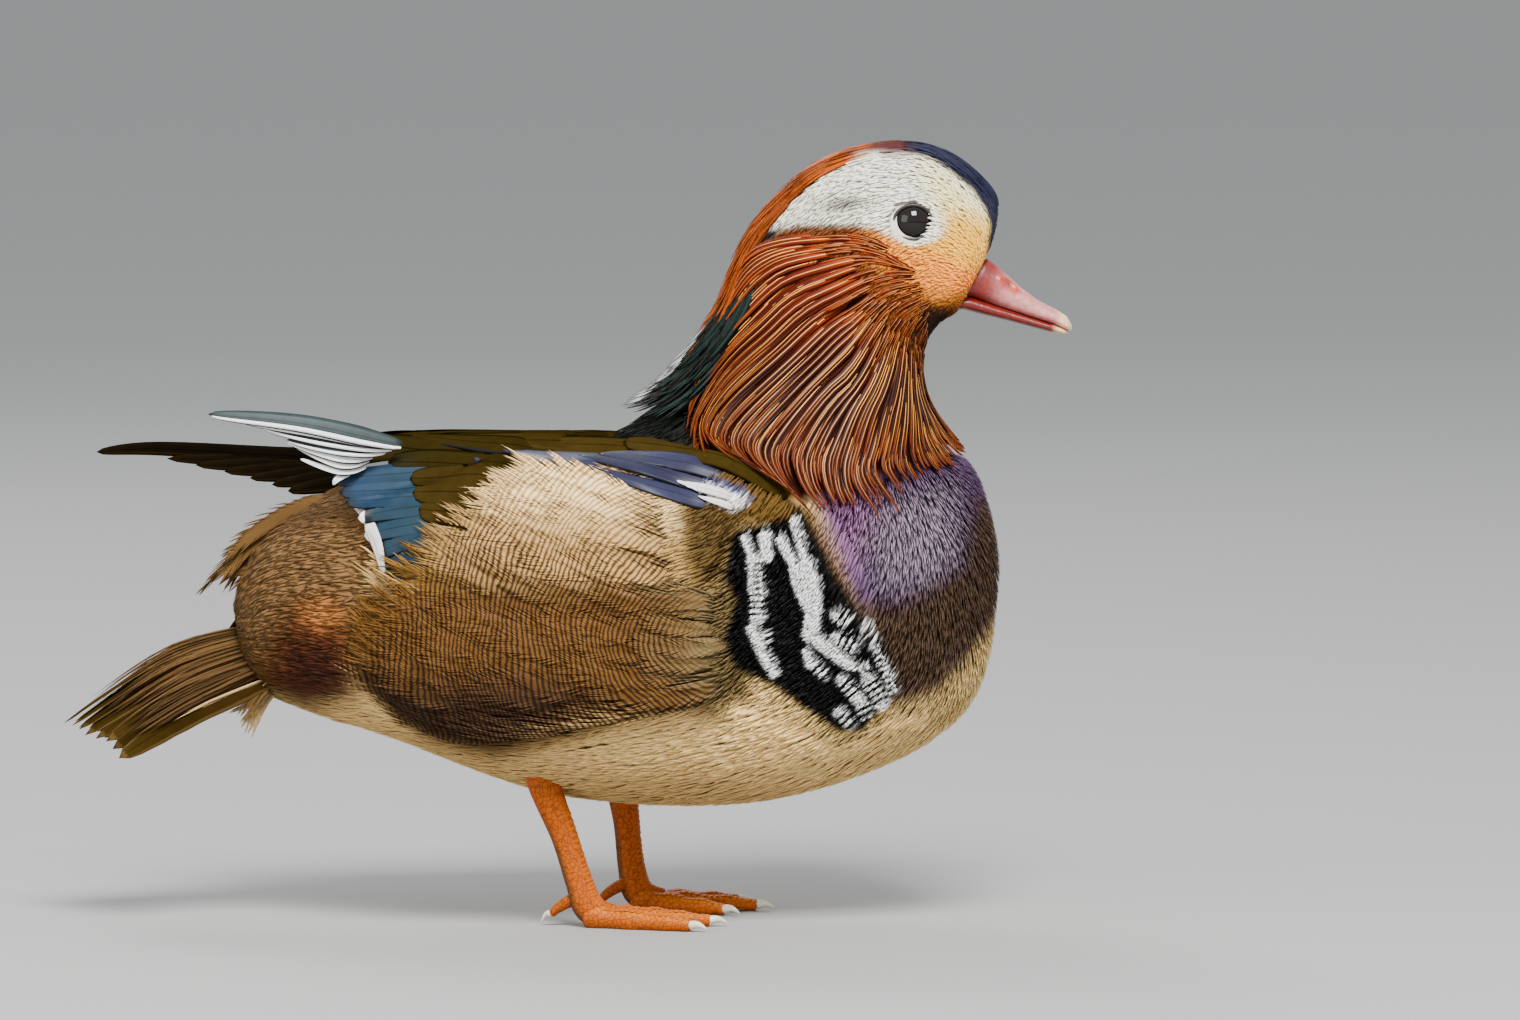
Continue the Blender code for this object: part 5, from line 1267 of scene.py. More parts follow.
def wrapVane(route, half, height, shape, thick=0.3):
    # a feather that lies on the right side's surface: its middle line and half its width, as seen from the side
    places = len(shape)
    share = np.linspace(0, 1, places)
    line = curve(route, share * (len(route) - 1))
    ahead = unit(np.gradient(line, axis=0))
    sideways = np.stack([ahead[:, 1], -ahead[:, 0]], -1)
    rings = []
    for k in range(places - 1):
        top, under = [], []
        for column in wrapColumns:
            spot, up = dropOn(*(line[k] + sideways[k] * column * half * shape[k]))
            lift = -2.2 + (2.2 + height) * smoothStep(0.0, 0.4, share[k]) + 0.10 * half * (1 - column ** 2)
            top.append(spot + up * (lift + (0.12 if column == 0 else 0)))
            under.append(spot + up * (lift - thick))
        rings.extend(top + under[5:0:-1])
    spot, up = dropOn(*line[-1])
    rings.append(spot + up * height)
    return np.array(rings)


def makeWings():
    groups = {}
    places = 18
    share = np.linspace(0, 1, places)
    for look, half, height, route in wingFeathers:
        shape = lancet(share, 0.35, 2.2) if look in ("blueBar", "whiteBar", "edged") else paddle(share, 0.3, 3.4)
        groups.setdefault(look, []).append(wrapVane(route, half, height, shape))
    for look, rows in groups.items():
        points = np.array(rows)
        tone = np.clip(1 + chance.normal(0, 0.06, len(rows)), 0.8, 1.2)
        shades = np.ones(points.shape) * tone[:, None, None]
        stops, marks, roughness = wingLooks[look]
        thing = vaneMesh("wing" + look[0].upper() + look[1:], points, places - 1, wrapAcross, shades,
                         markedMaterial(look + "Vanes", stops, marks, roughness), mirrored=True)
        if look == "speculum":
            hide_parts("wing_right", "wing_left")
    groups = {}
    for side, rows in ((rightSide, raisedFeathers), (leftSide, shadedFarFeathers)):
        for number, (look, half, root, route) in enumerate(rows):
            reach = share * (len(route) - 1)
            flat = curve(route, reach)
            depth = root[1] + side * 4.0 * np.sin(share * 2.2) - side * 0.35 * (len(rows) - number)
            path = np.stack([flat[:, 0], depth, flat[:, 1] + viewDrop * depth], -1)
            face = np.array((0.0, -0.95, 0.3)) if side == rightSide else np.array((0.0, -0.97, -0.15))
            normals = np.broadcast_to(face, path.shape)
            widths = half * paddle(share, 0.25, 1.7)
            groups.setdefault(look + "Blades", []).append((path, normals, widths))
    for look in ("raised", "raisedLow", "dark"):
        paths, normals, widths = (np.stack(v) for v in zip(*groups[look + "Blades"]))
        stops, marks, roughness = wingLooks[look]
        colours = np.ones(paths.shape)
        thing = vanePiece("wing" + look[0].upper() + look[1:], paths, normals, widths, colours,
                          markedMaterial(look + "Vanes", stops, marks, roughness), thick=0.4, camber=0.06)


# Loose feathers over the rump and the vent: half width, sideways place, colour and path as seen from the side
looseFeathers = (
    (6.2, 4, (0.150, 0.078, 0.022), ((-59, 130), (-75, 130), (-92, 121), (-111, 103))),
        (6.0, -8, (0.135, 0.068, 0.018), ((-59, 130), (-79, 127), (-95, 117), (-106, 106))),
    (5.8, -13, (0.135, 0.068, 0.018), ((-58, 128), (-77, 124), (-90, 115), (-100, 108))),
        (5.8, 12, (0.125, 0.062, 0.016), ((-58, 129), (-79, 126), (-93, 117), (-102, 104))),
    (4.4, -16, (0.092, 0.043, 0.007), ((-60, 124), (-76, 120), (-88, 111), (-92, 99))),
        (4.0, -7, (0.025, 0.017, 0.003), ((-76, 122), (-87, 117), (-93, 107), (-95, 96))),
    (3.8, -10, (0.036, 0.023, 0.004), ((-75, 118), (-85, 113), (-91, 106), (-92, 94))),
        (3.8, 6, (0.021, 0.015, 0.003), ((-76, 121), (-88, 115), (-95, 104), (-97, 94))),
    (4.2, 0, (0.042, 0.023, 0.004), ((-76, 117), (-87, 109), (-93, 99), (-100, 87))),
        (4.4, -19, (0.105, 0.051, 0.010), ((-58, 120), (-72, 115), (-83, 106), (-86, 98))),
    (4.6, -24, (0.118, 0.058, 0.011), ((-54, 112), (-66, 109), (-76, 103), (-82, 96))),
        (4.4, -26, (0.118, 0.059, 0.012), ((-51, 103), (-63, 102), (-71, 97), (-75, 88))),
    (3.4, -8, (0.508, 0.340, 0.151), ((-76, 78), (-85, 76), (-92, 71), (-97, 63))),
        (3.4, 4, (0.492, 0.320, 0.139), ((-78, 78), (-87, 73), (-93, 68), (-98, 65))),
    (3.4, -14, (0.426, 0.258, 0.092), ((-75, 77), (-84, 78), (-92, 74), (-97, 68))),
        (3.6, 8, (0.126, 0.066, 0.014), ((-82, 93), (-90, 87), (-97, 84), (-108, 78))),
    (3.6, -9, (0.109, 0.056, 0.011), ((-81, 93), (-89, 87), (-97, 82), (-107, 76))),
        (3.6, 0, (0.067, 0.033, 0.006), ((-83, 98), (-92, 92), (-100, 87), (-113, 85))),
)


def makeLoose():
    places = 12
    share = np.linspace(0, 1, places)
    paths, normals, widths, shades = [], [], [], []
    for half, depth, shade, route in looseFeathers:
        for copy in range(3):
            line = curve(route, share * (len(route) - 1) * (1, 0.93, 0.86)[copy])
            line = line + chance.normal(0, 0.8, 2)[None] + chance.normal(0, 1.6, 2)[None] * share[:, None]
            y = depth * (1 - 0.35 * share) + chance.uniform(-2.5, 2.5)
            for side in (1, -1) if abs(depth) > 14 else (1,):
                paths.append(np.stack([line[:, 0], side * y, line[:, 1] + viewDrop * np.abs(y)], -1))
                lean = 0.75 if depth < 0 else -0.2
                normals.append(np.repeat(unit(np.array([(-0.15, -side * lean, 0.6)])), places, 0))
                widths.append(half * chance.uniform(0.75, 1.1) * paddle(share, 0.35, 2.2))
                shades.append(np.array(shade) * chance.uniform(0.85, 1.15))
    paths, normals, widths = np.array(paths), np.array(normals), np.array(widths)
    shades, count = np.array(shades), len(shades)
    size = 11 * 8 + 1
    owner = np.concatenate([np.repeat(np.arange(count), size), np.tile(np.repeat(np.arange(count), 20), 2).repeat(10)])

    def looseColour(points):
        reach = smoothStep(-60.0, -110.0, points[:, 0])
        return shades[owner] * (0.9 + 0.35 * reach)[:, None]

    t = np.full(count, 12.0) + chance.uniform(-0.8, 0.8, count)
    barbedFeathers("looseFeathers", t, chance.uniform(0.6, 2.5, count), paths, normals, widths, materials["down"],
                   20, colourAt=looseColour)


tail = dict(
    feathers=16, halfWidth=4.2, covertCount=120,
    middle=((-84.0, 0.0, 86.0), (-122.0, 0.0, 80.0), (-157.0, 0.0, 58.5)),
    outer=((-86.0, 9.0, 79.0), (-114.0, 19.0, 67.0), (-138.0, 27.0, 53.0)),
)


def tailPlace(s, share):             # s goes from -1 on the right to 1 on the left
    middle = curve(tail["middle"], share * 2)
    outerRow = curve(tail["outer"], share * 2)
    f = np.abs(s)[..., None] ** 1.3
    spot = middle * (1 - f) + outerRow * f
    spot[..., 1] *= np.sign(s) + (s == 0)
    return spot


def makeTail():
    places = 16
    share = np.linspace(0, 1, places)
    count = tail["feathers"]
    s = np.linspace(-1, 1, count)
    order = 1 - np.abs(s)
    spread2d = np.repeat(s[:, None], places, 1)
    paths = tailPlace(spread2d, np.repeat(share[None], count, 0) * (0.90 + 0.10 * chance.uniform(0, 1, count))[:, None])
    paths[..., 2] += (order * 3.2 - 1.0)[:, None] + chance.uniform(-0.3, 0.3, count)[:, None]
    lean = np.radians(38.0) * s
    normals = np.stack([np.full(count, 0.28), np.sin(lean), np.cos(lean)], -1)[:, None].repeat(places, 1)
    widths = tail["halfWidth"] * paddle(share, 0.3, 3.0) * chance.uniform(0.85, 1.1, count)[:, None]
    colours = np.repeat(np.clip(1 + chance.normal(0, 0.12, count), 0.7, 1.3)[:, None, None], places, 1).repeat(3, 2)
    stops = ((0.0, (0.026, 0.014, 0.003)), (0.6, (0.019, 0.010, 0.002)), (1.0, (0.034, 0.020, 0.004)))
    marks = (("off", ((0.34, 0.0), (0.46, 1.0)), (0.13, 0.075, 0.024)), ("along", ((0.93, 0.0),
        (0.99, 1.0)), (0.17, 0.10, 0.032)))
    thing = vanePiece("tailFeathers", paths, normals, widths, colours, markedMaterial("tailVanes", stops, marks, 0.55),
                      thick=0.4, camber=0.12, ragged=0.04)
    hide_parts("tail")
    for name, above, first, last, dark, pale in (
        ("upperTailCoverts", 1.0, (0.0, 0.25), (0.45, 0.85), (0.034, 0.016, 0.004), (0.105, 0.054, 0.016)),
        ("undertailFeathers", -1.0, (0.0, 0.22), (0.40, 0.72), (0.40, 0.25, 0.105), (0.58, 0.41, 0.20)),
    ):
        number = tail["covertCount"] * 5
        across = chance.uniform(-1, 1, number)
        start = chance.uniform(*first, number)
        finish = chance.uniform(*last, number)
        steps = 8
        along = np.linspace(0, 1, steps)
        reach = start[:, None] + (finish - start)[:, None] * along
        path = tailPlace(np.repeat(across[:, None], steps, 1), reach)
        bulge = (8.0 - 5.5 * reach) * (1 - np.abs(across)[:, None] ** 2 * 0.6)
        path[..., 2] += above * bulge * chance.uniform(0.25, 1.0, number)[:, None] + chance.normal(0, 0.4, number)[:, None] * along
        path[..., 1] += chance.normal(0, 1.2, number)[:, None] * along
        lean = np.radians(40.0) * across
        up = np.stack([np.full(number, 0.3), np.sin(lean), np.cos(lean) * above], -1)[:, None].repeat(steps, 1)
        width = 0.75 * lancet(along, 0.25, 1.8) * chance.uniform(0.7, 1.3, number)[:, None]
        mix = chance.uniform(0, 1, number)[:, None, None]
        shades = np.array(dark) * (1 - mix) + np.array(pale) * mix
        # painted shade: each covert is darker towards its root, where the others cover it
        shades = np.broadcast_to(shades, path.shape) * (0.85 + 0.3 * along)[None, :, None]
        t = np.full(number, 13.2) + chance.uniform(-0.6, 0.6, number)
        thing = tuftPiece(name, t, math.pi / 2 * above + across * 0.9, path, up, width, 0.6, shades, materials["down"])


eye = dict(place=(108.0, 13.2, 217.4), radius=6.6, lidHalf=(5.9, 5.2), lidOut=4.1, lidTube=0.55)


def sphere(centre, radius, rings=40, around=64):
    v = np.linspace(0.02, math.pi - 0.02, rings)
    u = np.linspace(0, 2 * math.pi, around, endpoint=False)
    ring = np.stack([np.sin(v)[:, None] * np.cos(u), np.repeat(np.cos(v)[:, None], around, 1), np.sin(v)[:, None] * np.sin(u)], -1)
    return np.array(centre) + radius * ring


def tubeMesh(points):                # quads over a grid of rings, with the two ends closed
    rings, around = points.shape[:2]
    r, c = np.meshgrid(np.arange(rings - 1), np.arange(around), indexing="ij")
    after = (c + 1) % around
    quads = np.stack([r * around + c, r * around + after, (r + 1) * around + after, (r + 1) * around + c], -1).reshape(-1, 4)
    flat = np.vstack([points.reshape(-1, 3), points[0].mean(0), points[-1].mean(0)])
    k = np.arange(around)
    front, rear, last = len(flat) - 2, len(flat) - 1, (rings - 1) * around
    tris = np.concatenate([np.stack([(k + 1) % around, k, np.full(around, front)], 1),
                           np.stack([last + k, last + (k + 1) % around, np.full(around, rear)], 1)])
    loops = np.stack([np.stack([c, c + 1, c + 1, c], -1) / around, np.stack([r, r, r + 1, r + 1], -1) / (rings - 1)], -1)
    caps = np.tile(np.array([(0.0, 0.0), (0.01, 0.0), (0.005, 0.01)]), (2 * around, 1))
    loops = 0.02 + 0.96 * loops.reshape(-1, 4, 2)
    a, b, c = (flat[tris[:, k]] - flat.mean(0) for k in range(3))
    d, e, f, g = (flat[quads[:, k]] - flat.mean(0) for k in range(4))
    volume = np.sum(a * np.cross(b, c)) + np.sum(d * np.cross(e, f)) + np.sum(d * np.cross(f, g))
    if volume < 0:
        quads, tris, loops = quads[:, ::-1], tris[:, ::-1], loops[:, ::-1]
    return flat, quads, tris, np.concatenate([loops.reshape(-1, 2), caps])


def joined(meshes):                  # several grids of rings as one mesh, their maps side by side
    points, quads, tris, loopsQ, loopsT = [], [], [], [], []
    base, total = 0, len(meshes)
    for number, grid3d in enumerate(meshes):
        flat, four, three, loops = tubeMesh(grid3d)
        cell = np.array(((number % 6) / 6.0, (number // 6) / 6.0))
        loops = cell + loops / 6.0 * 0.98 if total > 1 else loops
        points.append(flat)
        quads.append(four + base)
        tris.append(three + base)
        loopsQ.append(loops[:len(four) * 4])
        loopsT.append(loops[len(four) * 4:])
        base += len(flat)
    return np.vstack(points), np.vstack(quads), np.vstack(tris), np.vstack(loopsQ + loopsT)


def sweep(path, radii, around=24, flat=1.0, upward=(0.0, 0.0, 1.0)):
    along = unit(np.gradient(path, axis=0))
    side = unit(np.cross(along, np.array(upward)))
    up = np.cross(side, along)
    turn = np.linspace(0, 2 * math.pi, around, endpoint=False)
    ring = side[:, None] * np.cos(turn)[None, :, None] + up[:, None] * np.sin(turn)[None, :, None] * flat
    return path[:, None] + ring * radii[:, None, None] if radii.ndim == 1 else path[:, None] + ring * radii[..., None]


def makeEyes():
    gloss = makeMaterial("eyeGloss", (0.006, 0.004, 0.003), 0.04, Specular_IOR_Level=0.25, Coat_Weight=0.25, Coat_Roughness=0.02)
    lidSkin = makeMaterial("eyeLid", (0.03, 0.022, 0.018), 0.5)
    for side, word in ((rightSide, "right"), (leftSide, "left")):
        x, y, z = eye["place"]
        ball = sphere((x, side * y, z), eye["radius"])
        flat, quads, tris, loops = tubeMesh(ball)
        thing = meshPiece("eye" + word.capitalize(), flat, quads, tris, gloss, loopMap=loops)
        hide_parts("eye_" + word)
        turn = np.linspace(0, 2 * math.pi, 73)[:-1]
        spots = np.stack([x + eye["lidHalf"][0] * np.cos(turn), side * (y + eye["lidOut"] - 0.4 * np.cos(2 * turn)),
                          z + eye["lidHalf"][1] * np.sin(turn)], -1)
        radial = unit(spots - np.array((x, side * (y + 3.0), z)))
        outward = np.broadcast_to(np.array((0.0, side, 0.0)), spots.shape)
        bend = np.linspace(0, 2 * math.pi, 12, endpoint=False)
        ring = spots[:, None] + eye["lidTube"] * (radial[:, None] * np.cos(bend)[:, None] + outward[:, None] * np.sin(bend)[:, None])
        r, c = np.meshgrid(np.arange(72), np.arange(12), indexing="ij")
        nextR, nextC = (r + 1) % 72, (c + 1) % 12
        quads = np.stack([r * 12 + c, r * 12 + nextC, nextR * 12 + nextC, nextR * 12 + c], -1).reshape(-1, 4)
        loops = np.stack([np.stack([c, c + 1, c + 1, c], -1) / 12, np.stack([r, r, r + 1, r + 1], -1) / 72], -1).reshape(-1, 2)
        if side == rightSide:
            quads = quads[:, ::-1]
        lid = meshPiece("lid" + word.capitalize(), ring.reshape(-1, 3), quads, np.zeros((0, 3), int), lidSkin, loopMap=loops)


bill = dict(
    tipX=157.4, base=(131.4, 205.0), slope=7.5 / 16.0, narrowing=0.30, nostril=(137.8, 5.3, 197.6),
    # share of its length, z of ridge, mouth and floor, half width
    rows=np.array([
        (0.0, 205.3, 193.4, 189.6, 7.6), (0.22, 201.9, 191.4, 187.9, 7.0), (0.45, 197.0, 189.2, 186.2, 6.3),
        (0.68, 192.4, 186.9, 184.2, 5.9), (0.86, 189.6, 185.0, 182.6, 5.6), (0.96, 187.4, 183.4, 182.0, 4.6),
        (1.0, 184.8, 182.9, 182.2, 2.0),
    ]),
    pink=(0.52, 0.19, 0.175), rose=(0.20, 0.012, 0.008), red=(0.15, 0.005, 0.002), nail=(0.86, 0.50, 0.30), nostrilRim=(0.50, 0.03, 0.01),
)


def billPlace(share, turn, upper):
    rows = bill["rows"]
    smooth = np.clip(share, 0, 1)
    ridge, mouth, floor, half = (np.interp(smooth, rows[:, 0], rows[:, k]) for k in (1, 2, 3, 4))
    top, bottom = (ridge, mouth) if upper else (mouth + 0.4, floor)
    lift = np.sign(np.sin(turn)) * np.abs(np.sin(turn)) ** 0.8
    z = bottom + (top - bottom) * (0.5 + 0.5 * lift)
    baseX = bill["base"][0] - bill["slope"] * (bill["base"][1] - z)
    narrow = 1 - bill["narrowing"] * np.maximum(0, (z - mouth) / (ridge - mouth + 1e-6))
    inset = 0.0 if upper else 0.9
    y = np.sign(np.cos(turn)) * np.abs(np.cos(turn)) ** 0.8 * (half - inset) * narrow
    return np.stack([baseX + (bill["tipX"] - (0.0 if upper else 1.2) - baseX) * share, y, z], -1)


def makeBill():
    material, nodes, links, shader = newMaterial("billSkin", 0.42, Coat_Weight=0.12, Coat_Roughness=0.30)
    shader.inputs["Subsurface Weight"].default_value = 0.08
    tone = node(nodes, "Attribute", attribute_name="tint").outputs["Color"]
    place = node(nodes, "TexCoord").outputs["Object"]
    noise = node(nodes, "TexNoise", Scale=700.0, Detail=3.0)
    links.new(place, noise.inputs["Vector"])
    colour = mixed(nodes, links, "MULTIPLY", 1.0, tone, ramp(nodes, links, noise.outputs["Fac"], ((0.35, 0.72), (0.6, 1.0))))
    links.new(colour, shader.inputs["Base Color"])
    relief = node(nodes, "Bump", Strength=0.35, Distance=0.0004)
    links.new(noise.outputs["Fac"], relief.inputs["Height"])
    links.new(relief.outputs[0], shader.inputs["Normal"])
    for name, upper, cadName in (("billUpper", True, "bill_upper"), ("billLower", False, "bill_lower")):
        share = np.linspace(-0.14, 1, 78)
        turn = np.linspace(0, 2 * math.pi, 64, endpoint=False)
        points = billPlace(share[:, None], turn[None, :], upper)
        if upper:
            nx, ny, nz = bill["nostril"]
            away = np.hypot((points[..., 0] - nx) * 0.75 + (points[..., 2] - nz) * 0.35, (points[..., 2] - nz) * 1.1 - (points[..., 0] - nx) * -0.45)
            side = np.abs(points[..., 1]) > 2.5
            dent = np.where(side, 0.5 * np.exp(-((away - 1.6) / 0.5) ** 2) - 0.9 * np.exp(-(away / 0.95) ** 2), 0)
            points[..., 1] += np.sign(points[..., 1]) * dent
            shades = np.broadcast_to(np.array(bill["pink"]), points.shape).copy()
            base = smoothStep(0.42, 0.08, share)[:, None] * np.ones(len(turn))
            shades = shades * (1 - base[..., None]) + np.array(bill["rose"]) * base[..., None]
            # a brighter red ring round the nostril's raised rim
            rim = np.exp(-((away - 1.5) / 0.55) ** 2) * side
            # painted shade: the nostril's hollow is painted dark
            hole = np.exp(-(away / 0.8) ** 2) * side
            shades = shades * (1 - rim[..., None]) + np.array(bill["nostrilRim"]) * rim[..., None]
            shades = shades * (1 - hole[..., None]) + np.array((0.16, 0.008, 0.004)) * hole[..., None]
        else:
            shades = np.broadcast_to(np.array(bill["red"]), points.shape).copy()
        nail = smoothStep(0.84, 0.92, share)[:, None] * np.ones(len(turn))
        shades = shades * (1 - nail[..., None]) + np.array(bill["nail"]) * nail[..., None]
        flat, quads, tris, loops = tubeMesh(points)
        allShades = np.vstack([shades.reshape(-1, 3), shades[0].mean(0), shades[-1].mean(0)])
        thing = meshPiece(name, flat, quads, tris, material, np.clip(allShades, 0, 1), loopMap=loops)
        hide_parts(cadName)


legs = dict(
    paths={
        rightSide: ((-9.0, -22.0, 66.0), (-6.5, -22.0, 47.0), (0.5, -22.5, 28.0), (5.0, -23.0, 14.0),
            (8.5, -23.0, 5.6), (16.0, -23.0, 3.6)),
        leftSide: ((15.0, 22.0, 62.0), (17.0, 22.0, 43.0), (19.0, 22.5, 28.0), (20.5, 23.0, 14.0),
            (23.0, 23.0, 5.6), (30.5, 23.0, 3.6)),
    },
    radii=(7.0, 5.4, 4.2, 4.3, 4.8, 3.3), thin=0.82,
    toes=((27.0, 36.0), (2.0, 44.0), (-22.0, 40.0)),
    toeRadii=(3.4, 3.0, 2.9, 2.5, 2.1, 1.7), toeHeights=(3.6, 2.9, 2.6, 2.4, 2.2, 1.9), knuckle=0.20,
    hallux=((-1.0, 9.5), (-6.0, 8.0), (-10.0, 5.6), (-12.0, 3.6)), halluxRadii=(2.3, 2.0, 1.6, 1.1),
    skin=(0.40, 0.078, 0.001), pale=(0.50, 0.135, 0.004), dark=(0.07, 0.030, 0.008), web=(0.055, 0.042, 0.028), claw=(0.62, 0.56, 0.42),
)


def legMaterial():
    material, nodes, links, shader = newMaterial("legSkin", 0.45, Specular_IOR_Level=0.14)
    place = node(nodes, "TexCoord").outputs["Object"]
    cells = node(nodes, "TexVoronoi", Scale=620.0, feature="DISTANCE_TO_EDGE")
    links.new(place, cells.inputs["Vector"])
    line = ramp(nodes, links, cells.outputs["Distance"], ((0.0, 0.45), (0.10, 1.0)))
    tone = node(nodes, "Attribute", attribute_name="tint").outputs["Color"]
    colour = mixed(nodes, links, "MULTIPLY", 1.0, tone, line)
    links.new(colour, shader.inputs["Base Color"])
    relief = node(nodes, "Bump", Strength=0.5, Distance=0.0003)
    links.new(line, relief.inputs["Height"])
    links.new(relief.outputs[0], shader.inputs["Normal"])
    return material


def clawMesh(start, ahead, length, radius):          # bends down to the ground
    share = np.linspace(0, 1, 14)
    path = np.array(start) + np.array(ahead) * (length * share)[:, None]
    path[:, 2] = start[2] + 0.7 * np.sin(share * math.pi * 0.8) - (start[2] - 0.45) * share ** 2.2
    return sweep(path, radius * (1 - share ** 1.6) + 0.18, 14)


def scuteTree(look):
    # plates on points, whose attributes give each plate's size and which way it lies
    tree = bpy.data.node_groups.new("scuteRow", "GeometryNodeTree")
    face = tree.interface
    face.new_socket("Geometry", in_out="INPUT", socket_type="NodeSocketGeometry")
    for title in ("Plate Length", "Plate Width", "Plate Thickness", "Size Variation"):
        face.new_socket(title, in_out="INPUT", socket_type="NodeSocketFloat")
    face.new_socket("Seed", in_out="INPUT", socket_type="NodeSocketInt")
    face.new_socket("Geometry", in_out="OUTPUT", socket_type="NodeSocketGeometry")
    nodes, links = tree.nodes, tree.links

    def add(kind, **values):
        made = nodes.new(kind)
        for key, value in values.items():
            setattr(made, key, value)
        return made

    entry, leave = add("NodeGroupInput"), add("NodeGroupOutput")
    plate = add("GeometryNodeMeshUVSphere")
    plate.inputs["Segments"].default_value, plate.inputs["Rings"].default_value = 12, 7
    plate.inputs["Radius"].default_value = 0.5
    size = add("ShaderNodeCombineXYZ")
    for k, title in enumerate(("Plate Length", "Plate Width", "Plate Thickness")):
        links.new(entry.outputs[title], size.inputs[k])
    vary = add("FunctionNodeRandomValue", data_type="FLOAT")
    low = add("ShaderNodeMath", operation="SUBTRACT")
    low.inputs[0].default_value = 1.0
    links.new(entry.outputs["Size Variation"], low.inputs[1])
    high = add("ShaderNodeMath", operation="ADD")
    high.inputs[0].default_value = 1.0
    links.new(entry.outputs["Size Variation"], high.inputs[1])
    links.new(low.outputs[0], vary.inputs[2])
    links.new(high.outputs[0], vary.inputs[3])
    links.new(entry.outputs["Seed"], vary.inputs[8])
    own = add("GeometryNodeInputNamedAttribute", data_type="FLOAT")
    own.inputs["Name"].default_value = "size"
    scaled = add("ShaderNodeMath", operation="MULTIPLY")
    links.new(vary.outputs[1], scaled.inputs[0])
    links.new(own.outputs[0], scaled.inputs[1])
    grown = add("ShaderNodeVectorMath", operation="SCALE")
    links.new(size.outputs[0], grown.inputs[0])
    links.new(scaled.outputs[0], grown.inputs["Scale"])
    outwards, ahead = (add("GeometryNodeInputNamedAttribute", data_type="FLOAT_VECTOR") for _ in range(2))
    outwards.inputs["Name"].default_value, ahead.inputs["Name"].default_value = "outwards", "ahead"
    stand = add("FunctionNodeAlignRotationToVector", axis="Z")
    links.new(outwards.outputs[0], stand.inputs["Vector"])
    along = add("FunctionNodeAlignRotationToVector", axis="X", pivot_axis="Z")
    links.new(stand.outputs[0], along.inputs["Rotation"])
    links.new(ahead.outputs[0], along.inputs["Vector"])
    place = add("GeometryNodeInstanceOnPoints")
    links.new(entry.outputs["Geometry"], place.inputs["Points"])
    links.new(plate.outputs["Mesh"], place.inputs["Instance"])
    links.new(along.outputs[0], place.inputs["Rotation"])
    links.new(grown.outputs[0], place.inputs["Scale"])
    real = add("GeometryNodeRealizeInstances")
    smooth = add("GeometryNodeSetShadeSmooth")
    dress = add("GeometryNodeSetMaterial")
    dress.inputs["Material"].default_value = look
    for first, second in ((place, real), (real, smooth), (smooth, dress), (dress, leave)):
        links.new(first.outputs[0], second.inputs[0])
    return tree


def makeScutes(name, tree, places, outwards, ahead, sizes):
    mesh = bpy.data.meshes.new(name + "Places")
    mesh.from_pydata([tuple(p) for p in np.asarray(places) * mm], [], [])
    for title, rows in (("outwards", outwards), ("ahead", ahead)):
        mesh.attributes.new(title, "FLOAT_VECTOR", "POINT").data.foreach_set("vector", np.asarray(rows, np.float32).ravel())
    mesh.attributes.new("size", "FLOAT", "POINT").data.foreach_set("value", np.asarray(sizes, np.float32))
    holder = bpy.data.objects.new(name + "Places", mesh)
    bpy.context.scene.collection.objects.link(holder)
    modifier = holder.modifiers.new("scutes", "NODES")
    modifier.node_group = tree
    wanted = {"Plate Length": scutes["length"] * mm, "Plate Width": scutes["width"] * mm,
              "Plate Thickness": scutes["thick"] * mm, "Size Variation": scutes["vary"], "Seed": scutes["seed"]}
    for item in tree.interface.items_tree:
        if item.in_out == "INPUT" and item.name in wanted:
            modifier[item.identifier] = wanted[item.name]
    view = bpy.context.evaluated_depsgraph_get()
    result = bpy.data.meshes.new_from_object(holder.evaluated_get(view))
    holder.modifiers.clear()
    bpy.data.objects.remove(holder)
    bpy.data.meshes.remove(mesh)
    result.name = name
    thing = bpy.data.objects.new(name, result)
    bpy.context.scene.collection.objects.link(thing)
    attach(thing, "root")
    return thing


scutes = dict(
    length=2.5, width=4.4, thick=1.1, vary=0.08, seed=5,
    shank=22, toe=15, colour=(0.40, 0.085, 0.001),
)


